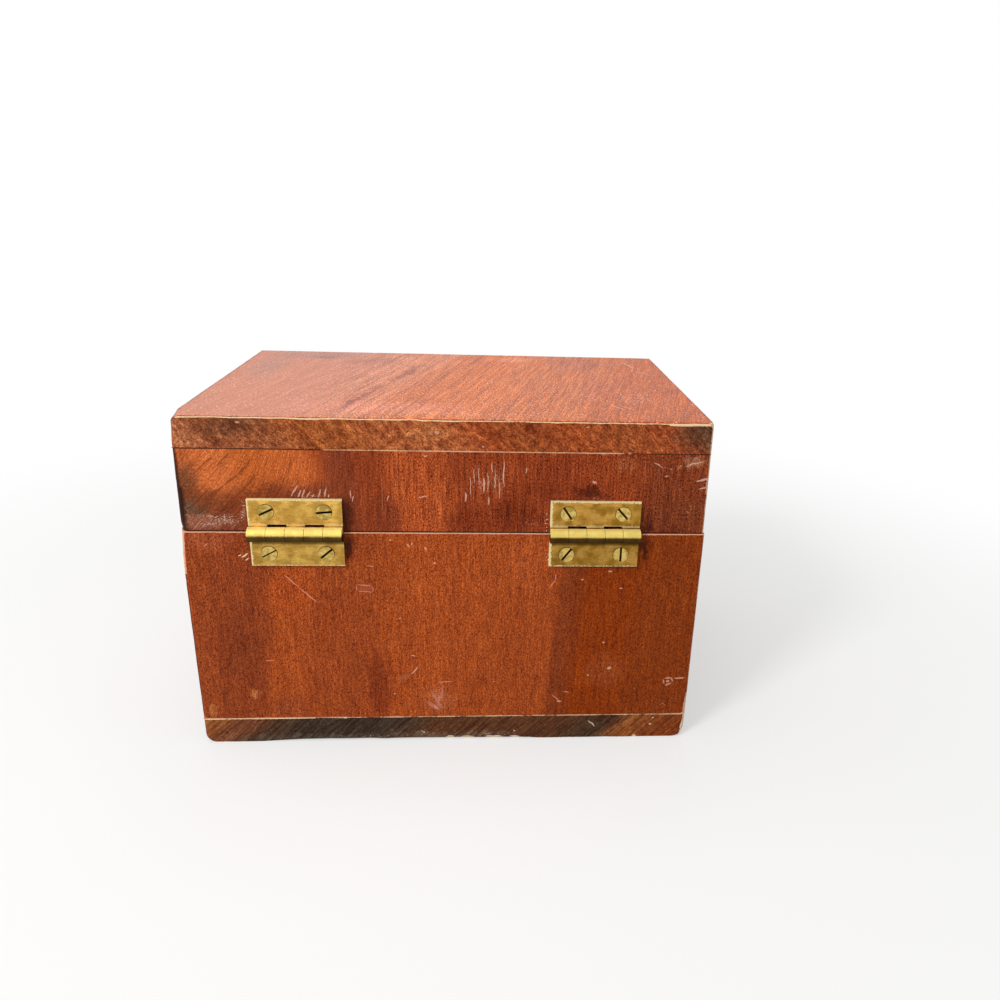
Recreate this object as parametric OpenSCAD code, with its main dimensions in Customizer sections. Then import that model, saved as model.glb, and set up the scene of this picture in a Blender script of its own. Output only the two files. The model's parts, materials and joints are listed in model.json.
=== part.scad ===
// A hinged wooden box for 3 by 5 inch recipe cards, in millimetres.
// The box was glued up closed and the lid was then sawn off, so the walls of the lid and
// of the base line up. Two brass butt hinges are screwed to the outside of the back.
// X runs from left to right as seen from the front, Y from front to back and Z up.
// The origin is the middle of the underside of the bottom board.

/* [Box] */
// Outside width, left to right
box_w = 146; // [134:1:200]
// Outside depth, front to back
box_d = 95.2; // [80:0.1:150]
// Thickness of the four walls
wall_t = 8; // [6:0.5:12]
// Thickness of the top board
top_t = 9; // [6:0.1:14]
// Thickness of the bottom board
bottom_t = 8.4; // [6:0.1:14]
// Height of the base's walls above the bottom board
base_wall_h = 60.5; // [40:0.5:110]
// Height of the lid's walls below the top board
lid_wall_h = 23.5; // [16:0.5:50]
// Space that the saw left between the lid and the base
saw_gap = 0.2; // [0.1:0.1:0.8]

/* [Edges and joints] */
// Radius on the left and right upper edges of the top board
top_edge_r = 2; // [1:0.5:5.5]
// Radius on the left and right lower edges of the bottom board
bottom_edge_r = 3; // [1:0.5:5.5]
// Radius on the front and back edges of both boards
eased_edge_r = 0.6; // [0.2:0.1:1.5]
// Radius on the four upright corners
corner_r = 1.2; // [0.4:0.2:2.4]
// Wood of the front and back walls that covers the ends of the side walls
lip_t = 3; // [2.5:0.5:5]

/* [Hinges] */
// Distance from the side of the box to the nearer end of a hinge
hinge_inset = 19.1; // [10:0.1:24]
// Length of a hinge along its pin
hinge_l = 25.4; // [20:0.2:32]
// Number of knuckles around a pin
knuckle_count = 5; // [3:2:7]
// Thickness of the brass sheet
leaf_t = 1; // [0.8:0.1:1.4]
// Distance from the middle of the pin to the outer edge of a leaf
leaf_reach = 9.8; // [9:0.1:12]
// Radius of the pin
pin_r = 1; // [0.8:0.05:1.2]
// Space around the pin inside the base's knuckles, which turn on it
pin_clear = 0.05; // [0.02:0.01:0.1]
// Space around the pin inside the lid's knuckles, which hold it
pin_hold_clear = 0.01; // [0.01:0.01:0.05]
// Space between the knuckles and the wood
barrel_clear = 0.1; // [0.05:0.05:0.5]
// Space between one knuckle and the next
knuckle_gap = 0.14; // [0.06:0.02:0.3]
// Space between a knuckle and the notch for it in the other leaf
notch_gap = 0.45; // [0.3:0.05:0.8]
// Width of the seam where the rolled sheet comes back to its own leaf
seam_gap = 0.12; // [0.06:0.02:0.3]
// Radius on the leaf's two outer corners
leaf_corner_r = 0.4; // [0.2:0.1:1]

/* [Screws] */
// Distance between the two screws of a leaf
screw_spacing = 15.5; // [10:0.1:16]
// Diameter of a countersunk head
head_d = 4.5; // [3.8:0.1:5]
// Included angle of the countersink
head_angle = 82; // [78:1:90]
// Height of a head above its leaf
head_proud = 0.15; // [0:0.05:0.3]
// Diameter of the shank
shank_d = 2.2; // [1.6:0.1:2.6]
// Length of the pointed end
tip_l = 2.4; // [1.5:0.1:3]
// Wood left between a screw's point and the inside of the wall
tip_cover = 1; // [0.5:0.1:2]
// Width of the driver slot
slot_w = 0.7; // [0.5:0.05:0.9]
// Depth of the driver slot
slot_depth = 0.55; // [0.3:0.05:0.7]
// Space between a screw and the hole that it sits in
screw_clear = 0.04; // [0.02:0.01:0.08]

/* [Hidden] */
$fn = 96;
rim_z = bottom_t + base_wall_h;
lid_z = rim_z + saw_gap;
top_z = lid_z + lid_wall_h;
side_wall_l = box_d - 2 * lip_t;
knuckle_r = pin_r + pin_clear + leaf_t;
knuckle_pitch = hinge_l / knuckle_count;
hinge_x = box_w / 2 - hinge_inset - hinge_l / 2;
pin_z = rim_z + saw_gap / 2;
pin_y = box_d / 2 + barrel_clear + knuckle_r;
// Faces of a leaf that lies on the wood, measured from the middle of the pin
leaf_back = box_d / 2 - pin_y;
leaf_front = leaf_back + leaf_t;
notch_edge = knuckle_r + notch_gap;
screw_row = (notch_edge + leaf_reach) / 2;
screw_l = wall_t + leaf_t - tip_cover;
head_h = (head_d - shank_d) / 2 / tan(head_angle / 2);
// How far a cutting shape runs past the surface that it cuts
past = 1;
// Side of the box that a hinge is on, and the end of the leaf that a screw is at
left = -1;
right = 1;
outer = 1;
inner = -1;
// Leaf that a screw holds: the one above the pin or the one below it
on_lid = 1;
on_base = -1;
walnut = "#94431f";
dark_walnut = "#5a3420";
brass = "#b88f3c";

// What is cut away to round a corner that lies at the origin, with the sheet at +X and +Y
module corner_waste(r) {
    difference() {
        translate([-past, -past]) square(r + past);
        translate([r, r]) circle(r);
    }
}

// A flat shape and its mirror image across the given direction
module with_mirrored(direction) {
    children();
    mirror(direction) children();
}

// Outline of the whole box from above
module box_plan() {
    difference() {
        square([box_w, box_d], center = true);
        with_mirrored([1, 0]) with_mirrored([0, 1])
            translate([-box_w / 2, -box_d / 2]) corner_waste(corner_r);
    }
}

// The back wall from above: full width, with a rabbet at each end for a side wall
module rabbeted_wall_plan() {
    intersection() {
        box_plan();
        difference() {
            translate([-box_w / 2, box_d / 2 - wall_t]) square([box_w, wall_t]);
            with_mirrored([1, 0])
                translate([box_w / 2 - wall_t, side_wall_l / 2 - wall_t])
                    square(wall_t);
        }
    }
}

// Back wall of the given height, standing on z = 0
module rabbeted_wall(height) {
    linear_extrude(height) rabbeted_wall_plan();
}

// Right side wall of the given height, which fills the rabbets of the front and back
module side_wall(height) {
    translate([box_w / 2 - wall_t, -side_wall_l / 2, 0])
        cube([wall_t, side_wall_l, height]);
}

// Section through a board of the given width, its two upper edges rounded
module rounded_section(width, thickness, edge_r) {
    difference() {
        translate([-width / 2, 0]) square([width, thickness]);
        with_mirrored([1, 0])
            translate([-width / 2, thickness]) mirror([0, 1]) corner_waste(edge_r);
    }
}

// Top or bottom board, lying on z = 0, rounded on its left and right upper edges and eased
// on the front and back ones
module capping_board(thickness, edge_r) {
    intersection() {
        linear_extrude(thickness) box_plan();
        translate([0, box_d / 2, 0]) rotate([90, 0, 0]) linear_extrude(box_d)
            rounded_section(box_w, thickness, edge_r);
        translate([-box_w / 2, 0, 0]) rotate([90, 0, 90]) linear_extrude(box_w)
            rounded_section(box_d, thickness, eased_edge_r);
    }
}

// Puts a shape drawn around the pin's middle at the hinge on the given side
module at_hinge(side) {
    translate([side * hinge_x, pin_y, pin_z]) children();
}

// Puts a shape drawn along Z, head up, at one screw of a hinge, its head facing backwards
module at_screw(side, leaf, end) {
    at_hinge(side)
        translate([side * end * screw_spacing / 2, leaf_front, leaf * screw_row])
            rotate([-90, 0, 0]) children();
}

// Screw body with everything moved outwards by grow: a head, a shank and a point
module screw_body(grow, head_top) {
    rotate_extrude() polygon([
        [0, head_top],
        [head_d / 2 + grow, head_top],
        [head_d / 2 + grow, -grow],
        [shank_d / 2 + grow, -head_h - grow],
        [shank_d / 2 + grow, tip_l - screw_l],
        [0, -screw_l - grow]
    ]);
}

// The holes for both screws of both hinges, in the leaves and the wood on one side of the pin
module screw_holes(leaf) {
    for (side = [left, right], end = [outer, inner])
        at_screw(side, leaf, end) screw_body(screw_clear, past);
}

// Slotted countersunk wood screw, its slot turned anticlockwise from level as seen from behind
module slotted_screw(slot_angle) {
    difference() {
        screw_body(0, head_proud);
        rotate(slot_angle)
            translate([-head_d, -slot_w / 2, head_proud - slot_depth])
                cube([2 * head_d, slot_w, slot_depth + past]);
    }
}

// Section through a leaf and the knuckle rolled from its end, with the pin at the origin
// and the leaf standing up along the wood
module rolled_section(bore_r) {
    difference() {
        union() {
            circle(knuckle_r);
            translate([leaf_back, 0]) square([leaf_t, notch_edge]);
        }
        circle(bore_r);
        translate([-bore_r, 0]) square([seam_gap, knuckle_r]);
    }
}

// Flat part of a leaf from behind, clear of the other leaf's knuckles
module leaf_outline() {
    difference() {
        translate([-hinge_l / 2, notch_edge]) square([hinge_l, leaf_reach - notch_edge]);
        with_mirrored([1, 0])
            translate([-hinge_l / 2, leaf_reach]) mirror([0, 1])
                corner_waste(leaf_corner_r);
    }
}

// Upper leaf of a hinge, holding every second knuckle from the given one
module rolled_leaf(first_knuckle, bore_r) {
    translate([0, leaf_front, 0])
        rotate([90, 0, 0]) linear_extrude(leaf_t) leaf_outline();
    for (k = [first_knuckle : 2 : knuckle_count - 1])
        translate([(k - knuckle_count / 2) * knuckle_pitch + knuckle_gap / 2, 0, 0])
            rotate([90, 0, 90]) linear_extrude(knuckle_pitch - knuckle_gap)
                rolled_section(bore_r);
}

module bottom_board() {
    color(dark_walnut) translate([0, 0, bottom_t]) mirror([0, 0, 1])
        capping_board(bottom_t, bottom_edge_r);
}

module base_front() {
    color(walnut) translate([0, 0, bottom_t]) mirror([0, 1, 0])
        rabbeted_wall(base_wall_h);
}

module base_back() {
    color(walnut) difference() {
        translate([0, 0, bottom_t]) rabbeted_wall(base_wall_h);
        screw_holes(on_base);
    }
}

module base_left() {
    color(walnut) translate([0, 0, bottom_t]) mirror([1, 0, 0])
        side_wall(base_wall_h);
}

module base_right() {
    color(walnut) translate([0, 0, bottom_t]) side_wall(base_wall_h);
}

module top_board() {
    color(walnut) translate([0, 0, top_z]) capping_board(top_t, top_edge_r);
}

module lid_front() {
    color(walnut) translate([0, 0, lid_z]) mirror([0, 1, 0])
        rabbeted_wall(lid_wall_h);
}

module lid_back() {
    color(walnut) difference() {
        translate([0, 0, lid_z]) rabbeted_wall(lid_wall_h);
        screw_holes(on_lid);
    }
}

module lid_left() {
    color(walnut) translate([0, 0, lid_z]) mirror([1, 0, 0]) side_wall(lid_wall_h);
}

module lid_right() {
    color(walnut) translate([0, 0, lid_z]) side_wall(lid_wall_h);
}

// Leaf on the lid, with the two end knuckles and every second one between them
module hinge_lid_leaf(side) {
    color(brass) difference() {
        at_hinge(side) rolled_leaf(0, pin_r + pin_hold_clear);
        screw_holes(on_lid);
    }
}

// Leaf on the base, with the knuckles in between
module hinge_base_leaf(side) {
    color(brass) difference() {
        at_hinge(side) mirror([0, 0, 1]) rolled_leaf(1, pin_r + pin_clear);
        screw_holes(on_base);
    }
}

// Pin, held by the lid's leaf
module hinge_pin(side) {
    color(brass) at_hinge(side) rotate([0, 90, 0])
        cylinder(r = pin_r, h = hinge_l - knuckle_gap, center = true);
}

module hinge_screw(side, leaf, end, slot_angle) {
    color(brass) at_screw(side, leaf, end) slotted_screw(slot_angle);
}

bottom_board();
base_front();
base_back();
base_left();
base_right();
top_board();
lid_front();
lid_back();
lid_left();
lid_right();
hinge_base_leaf(left);  // left_hinge_base_leaf
hinge_lid_leaf(left);  // left_hinge_lid_leaf
hinge_pin(left);  // left_hinge_pin
hinge_base_leaf(right);  // right_hinge_base_leaf
hinge_lid_leaf(right);  // right_hinge_lid_leaf
hinge_pin(right);  // right_hinge_pin
hinge_screw(left, on_base, outer, 90);  // left_hinge_base_screw_outer
hinge_screw(left, on_base, inner, 57);  // left_hinge_base_screw_inner
hinge_screw(left, on_lid, outer, -45);  // left_hinge_lid_screw_outer
hinge_screw(left, on_lid, inner, -58);  // left_hinge_lid_screw_inner
hinge_screw(right, on_base, outer, 28);  // right_hinge_base_screw_outer
hinge_screw(right, on_base, inner, 42);  // right_hinge_base_screw_inner
hinge_screw(right, on_lid, outer, 28);  // right_hinge_lid_screw_outer
hinge_screw(right, on_lid, inner, 5);  // right_hinge_lid_screw_inner
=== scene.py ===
import json
import math

import bmesh
import bpy
import numpy as np
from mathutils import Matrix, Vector, noise


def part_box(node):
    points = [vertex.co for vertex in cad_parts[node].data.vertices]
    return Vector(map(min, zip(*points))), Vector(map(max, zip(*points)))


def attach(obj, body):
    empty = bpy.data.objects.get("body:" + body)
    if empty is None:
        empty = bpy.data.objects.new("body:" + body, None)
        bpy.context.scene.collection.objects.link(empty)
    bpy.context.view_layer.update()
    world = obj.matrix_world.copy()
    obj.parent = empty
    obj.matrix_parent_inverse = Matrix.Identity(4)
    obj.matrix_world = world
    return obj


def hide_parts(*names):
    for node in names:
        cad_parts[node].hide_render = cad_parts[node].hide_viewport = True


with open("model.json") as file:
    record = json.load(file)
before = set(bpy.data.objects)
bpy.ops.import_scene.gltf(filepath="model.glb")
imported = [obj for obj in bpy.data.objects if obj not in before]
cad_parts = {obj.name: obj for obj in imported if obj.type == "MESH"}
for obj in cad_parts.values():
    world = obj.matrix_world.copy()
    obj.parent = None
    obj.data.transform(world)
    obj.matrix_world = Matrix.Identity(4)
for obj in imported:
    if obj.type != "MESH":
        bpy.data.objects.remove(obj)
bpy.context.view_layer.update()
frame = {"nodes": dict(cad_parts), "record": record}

mm = 0.001


def rgb(hexColour):
    # sRGB hex to the linear values that nodes take
    channels = [int(hexColour[i:i + 2], 16) / 255 for i in (1, 3, 5)]
    return (*[c / 12.92 if c <= 0.04045 else ((c + 0.055) / 1.055) ** 2.4 for c in channels], 1)


def add(tree, kind, *feeds, **settings):
    # One node, with its settings. The kind may name an operation too, as in "Math ADD". The feeds are
    # values, sockets or whole nodes for the first inputs, then a dictionary of them for inputs by name.
    kind, *operation = kind.split()
    family = next(start for start in ("ShaderNode", "GeometryNode", "FunctionNode", "Node")
                  if hasattr(bpy.types, start + kind))
    node = tree.nodes.new(family + kind)
    if operation:
        node.operation = operation[0]
    for name, value in settings.items():
        setattr(node, name, value)
    inputs = {}
    for place, feed in enumerate(feeds):
        inputs.update(feed if isinstance(feed, dict) else {place: feed})
    for socket, value in inputs.items():
        if isinstance(value, bpy.types.Node):
            value = value.outputs[0]
        if isinstance(value, bpy.types.NodeSocket):
            tree.links.new(value, node.inputs[socket])
        else:
            node.inputs[socket].default_value = value
    return node


def emptyMaterial(name):
    material = bpy.data.materials.new(name)
    material.use_nodes = True
    material.node_tree.nodes.clear()
    return material, material.node_tree


def show(name, data):
    # a new object at the origin, in the scene
    shown = bpy.data.objects.new(name, data)
    bpy.context.scene.collection.objects.link(shown)
    return shown


# Camera, floor and light. The camera stands behind the box and looks a little down at its back.
view = {"at": (-0.00995, 0.26051, 0.15717), "turn": (69.344, -1.918, 176.168), "lens": 29.546,
        "shift": (-0.0448, 0.0075), "nearest": 0.01}
camera = show("camera", bpy.data.cameras.new("camera"))
camera.location = view["at"]
camera.rotation_euler = [math.radians(angle) for angle in view["turn"]]
camera.data.lens = view["lens"]
camera.data.shift_x, camera.data.shift_y = view["shift"]
camera.data.clip_start = view["nearest"]
bpy.context.scene.camera = camera
bpy.context.scene.view_settings.view_transform = "Standard"

studio = {"floorSize": 6.0, "floorWhite": 0.5, "whiteFrom": 0.13, "whiteTo": 0.36, "floorColour": "#ececea",
          "fill": 0.27, "aim": (0, 0, 0.05),
          "lamps": [("window", (0.55, 0.60, 0.66), 0.22, 5.6), ("sky", (0.10, 0.05, 0.95), 1.0, 5.5)]}
white = (1, 1, 1, 1)


def seenDirectly(tree):
    # 1 for rays that show what they hit, as in a view or a reflection, and 0 for rays that carry light
    rays = add(tree, "LightPath").outputs
    seen = add(tree, "Math MAXIMUM", rays["Is Camera Ray"], rays["Is Glossy Ray"])
    return add(tree, "Math MAXIMUM", seen, rays["Is Transmission Ray"])


def lightStudio():
    world = bpy.data.worlds.new("studio")
    bpy.context.scene.world = world
    world.use_nodes = True
    tree = world.node_tree
    tree.nodes.clear()
    strength = add(tree, "MapRange", seenDirectly(tree), {"To Min": studio["fill"]})
    add(tree, "OutputWorld", {"Surface": add(tree, "Background", {"Color": white, "Strength": strength})})
    for name, place, size, power in studio["lamps"]:
        lamp = bpy.data.lights.new(name, "AREA")
        lamp.size = size
        lamp.energy = power
        stand = show(name, lamp)
        stand.location = place
        stand.rotation_euler = (Vector(studio["aim"]) - stand.location).to_track_quat("-Z", "Y").to_euler()


def layFloor():
    half = studio["floorSize"] / 2
    mesh = bpy.data.meshes.new("floor")
    corners = [(-half, -half, 0), (half, -half, 0), (half, half, 0), (-half, half, 0)]
    mesh.from_pydata(corners, [], [(0, 1, 2, 3)])
    paper, tree = emptyMaterial("white paper backdrop")
    # away from the box the paper runs out into plain white, so that no horizon shows
    away = add(tree, "VectorMath LENGTH", add(tree, "TexCoord").outputs["Object"])
    whiter = add(tree, "MapRange", away.outputs["Value"], studio["whiteFrom"], studio["whiteTo"],
                 studio["floorWhite"], interpolation_type="SMOOTHSTEP")
    share = add(tree, "Math MULTIPLY", seenDirectly(tree), whiter)
    matt = add(tree, "BsdfDiffuse", rgb(studio["floorColour"]))
    glow = add(tree, "Emission", white, 1.0)
    add(tree, "OutputMaterial", add(tree, "MixShader", share, matt, glow))
    mesh.materials.append(paper)
    show("floor", mesh)


lightStudio()
layFloor()
print("camera, floor and light are set")


# Wood. Every pattern is worked out in millimetres along and across the grain of a board.
def grainNoise(tree, grain, size, detail=2.0):
    # noise whose spots are as large as size, across the grain, along it and through the board
    scaled = add(tree, "Mapping", grain, {"Scale": [1 / length for length in size]})
    return add(tree, "TexNoise", scaled, {"Scale": 1.0, "Detail": detail})


def spots(tree, grain, places):
    # the highest of soft ellipses, each 1 in its middle and 0 at its rim, turned by an angle if one is given
    highest = None
    for across, along, halfLong, halfWide, *angle in places:
        own = add(tree, "Mapping", grain, {
            "Location": (across, along, 0), "Rotation": (0, 0, math.radians(sum(angle))),
            "Scale": (halfLong, halfWide, 1000)}, vector_type="TEXTURE")
        spot = add(tree, "TexGradient", own, gradient_type="SPHERICAL").outputs["Fac"]
        highest = spot if highest is None else add(tree, "Math MAXIMUM", highest, spot)
    return highest


def stroke(startX, startY, endX, endY, halfWide):
    # a scratch from one point to another, as a long thin spot
    run = (endX - startX, endY - startY)
    return ((startX + endX) / 2, (startY + endY) / 2, math.hypot(*run) / 2 * 1.2, halfWide,
            math.degrees(math.atan2(run[1], run[0])))


# how soft or ragged the patches and marks are, in millimetres, and where each begins to show
wear = {"raggedScale": 0.35, "loose": (6, 6, 0), "close": (1.2, 1.2, 0), "bloomFull": 0.7, "crumbScale": 1.6,
        "mark": (0.12, 0.42), "grit": 4.0, "gritCover": -3.0, "gritFull": 0.35, "dirtAndShade": (0.35, 0.9, 0, 0.92),
        "bare": (0.72, 1.0, 0, 0.95), "bareRoughness": 0.75, "roughnessSpread": 0.16,
        "coatIor": 1.45, "swing": (1, 1.3, 1.35)}


def woodMaterial(name, look):
    material, tree = emptyMaterial(name)
    inMm = add(tree, "VectorMath SCALE", add(tree, "TexCoord").outputs["Object"], {"Scale": 1 / mm})
    axes = add(tree, "SeparateXYZ", inMm).outputs
    across, along, through = [axes[axis] for axis in look["axes"]]
    face = add(tree, "CombineXYZ", across, along, through)
    turn = (0, 0, math.radians(look["turn"]))
    grain = add(tree, "Mapping", face, {"Rotation": turn, "Location": look["seed"]})

    if "sweep" in look:
        # towards one side the fibres lean over more and more
        start, end, middle, most = look["sweep"]
        share = add(tree, "MapRange", across, start, end, 0, most)
        shift = add(tree, "Math MULTIPLY", share, add(tree, "Math SUBTRACT", along, middle))
        grain = add(tree, "VectorMath ADD", grain, add(tree, "CombineXYZ", shift))

    # broad bands of tone across the board, which wander a little along it
    wander = add(tree, "Math MULTIPLY_ADD", grainNoise(tree, grain, look["wanderSize"]), look["wander"],
                 -look["wander"] / 2)
    lean = add(tree, "Math MULTIPLY_ADD", along, look["lean"], across)
    (first, firstTone), *between, (last, lastTone) = look["bands"]
    ratio = add(tree, "MapRange", add(tree, "Math ADD", lean, wander), first, last)
    bands = add(tree, "ValToRGB", ratio)
    for position, tone in between:
        place = (position - first) / (last - first)
        bands.color_ramp.elements.new(place).color = rgb(look["tones"][tone])
    bands.color_ramp.elements[0].color = rgb(look["tones"][firstTone])
    bands.color_ramp.elements[-1].color = rgb(look["tones"][lastTone])
    colour = bands.outputs[0]

    # soft patches of another tone, with ragged outlines
    ragged = add(tree, "TexNoise", face, {"Scale": wear["raggedScale"], "Detail": 3.0})
    offset = add(tree, "VectorMath SUBTRACT", ragged.outputs["Color"], (0.5, 0.5, 0.5))
    loose = add(tree, "VectorMath MULTIPLY_ADD", offset, wear["loose"], face)
    close = add(tree, "VectorMath MULTIPLY_ADD", offset, wear["close"], face)
    for tone, most, *place in look["blooms"]:
        share = add(tree, "MapRange", spots(tree, loose, [place]), 0, wear["bloomFull"], 0, most,
                    interpolation_type="SMOOTHSTEP")
        colour = add(tree, "Mix", share, {6: colour, 7: rgb(tone)}, data_type="RGBA").outputs[2]

    # streaks, pores and grit: each layer changes green and blue more than red, and they are together
    # livelier on one side of the board than on the other
    gains = (1, 1, 1)
    for size, contrast in look["layers"]:
        layer = grainNoise(tree, grain, size)
        swing = [contrast * channel for channel in wear["swing"]]
        gain = add(tree, "MapRange", {
            "Vector": add(tree, "CombineXYZ", layer, layer, layer), 7: (0.3, 0.3, 0.3), 8: (0.7, 0.7, 0.7),
            9: [1 - c for c in swing], 10: [1 + c for c in swing]}, data_type="FLOAT_VECTOR", clamp=False)
        gains = add(tree, "VectorMath MULTIPLY", gains, gain.outputs[1])
    lively = add(tree, "MapRange", across, *look["lively"])
    gains = add(tree, "Mix", lively, {4: (1, 1, 1), 5: gains}, data_type="VECTOR", clamp_factor=False)
    colour = add(tree, "VectorMath MULTIPLY", colour, gains.outputs[1])

    # marks of use: scratches and knocks down to pale wood, then fine specks gathered in soft spots
    crumbs = add(tree, "TexNoise", face, {"Scale": wear["crumbScale"], "Detail": 3.0}).outputs["Fac"]
    for tone, most, breakUp, places, lines in look["marks"]:
        spot = spots(tree, close, places + [stroke(*line) for line in lines])
        broken = add(tree, "Math MULTIPLY_ADD", crumbs, breakUp, spot)
        share = add(tree, "MapRange", broken, *[limit + breakUp / 2 for limit in wear["mark"]], 0, most)
        shown = add(tree, "Math MULTIPLY", add(tree, "Math GREATER_THAN", spot, 0.001), share)
        colour = add(tree, "Mix", shown, {6: colour, 7: rgb(tone)}, data_type="RGBA").outputs[2]
    for tone, most, density, size, places in look["specks"] + look["flecks"]:
        cover = add(tree, "Math MULTIPLY_ADD", spots(tree, close, places), density, wear["gritCover"])
        grit = add(tree, "Math MULTIPLY_ADD", grainNoise(tree, face, size), wear["grit"], cover)
        shown = add(tree, "MapRange", grit, 0, wear["gritFull"], 0, most)
        colour = add(tree, "Mix", shown, {6: colour, 7: rgb(tone)}, data_type="RGBA").outputs[2]

    # dirt and painted shade in the corners, along the joints and at the lid's lower edge, and bare wood on
    # the edges, as the mesh says
    for kind, breakUp in (("dirtAndShade", 0.5), ("bare", 0.9)):
        amount = add(tree, "Attribute", attribute_name=kind).outputs["Fac"]
        broken = add(tree, "Math MULTIPLY_ADD", crumbs, breakUp, amount)
        share = add(tree, "MapRange", broken, *wear[kind])
        colour = add(tree, "Mix", share, {6: colour, 7: rgb(look[kind])}, data_type="RGBA").outputs[2]

    gloss = add(tree, "MapRange", share, {"To Min": look["roughness"], "To Max": wear["bareRoughness"]})
    rough = add(tree, "Math MULTIPLY_ADD", crumbs, wear["roughnessSpread"], gloss)
    relief = grainNoise(tree, grain, look["reliefSize"], 3.0)
    bump = add(tree, "Bump", {"Height": relief, "Distance": look["relief"] * mm, "Strength": 1.0})
    skin = add(tree, "BsdfPrincipled", {"Base Color": colour, "Roughness": rough, "Normal": bump,
                                        "IOR": wear["coatIor"], "Specular IOR Level": look["shine"]})
    add(tree, "OutputMaterial", skin)
    return material


# Lacquered walnut: a thin old clear coat over red-brown stained wood. The coat is dull, and it lets the
# bands, the streaks and the grit of the pores show through. Pale wood shows where it is knocked off.
# Blooms are (tone, most, x, y, half length, half width, angle), marks (tone, most, break-up, dots,
# strokes), and specks and flecks (tone, most, density, size of a grain, spots), in millimetres.
lacquered = {
    "axes": "XZY", "turn": 0, "seed": (0, 0, 0), "lean": 0, "wander": 4, "wanderSize": (22, 70, 22),
    "blooms": [], "marks": [], "specks": [], "bare": "#e9b491", "dirtAndShade": "#2c1610", "roughness": 0.38,
    "shine": 0.08, "lively": (0, 1, 1, 1),
    "flecks": [("#c27a58", 0.5, 0.22, (0.4, 0.5, 0.4), [(0, 50, 900, 900)])],
    "layers": [((3.2, 45, 3.2), 0.07), ((0.9, 14, 0.9), 0.1), ((0.4, 6, 0.4), 0.2),
        ((0.24, 0.5, 0.24), 0.55)],
    "reliefSize": (0.5, 1, 0.5), "relief": 0.03}

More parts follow.
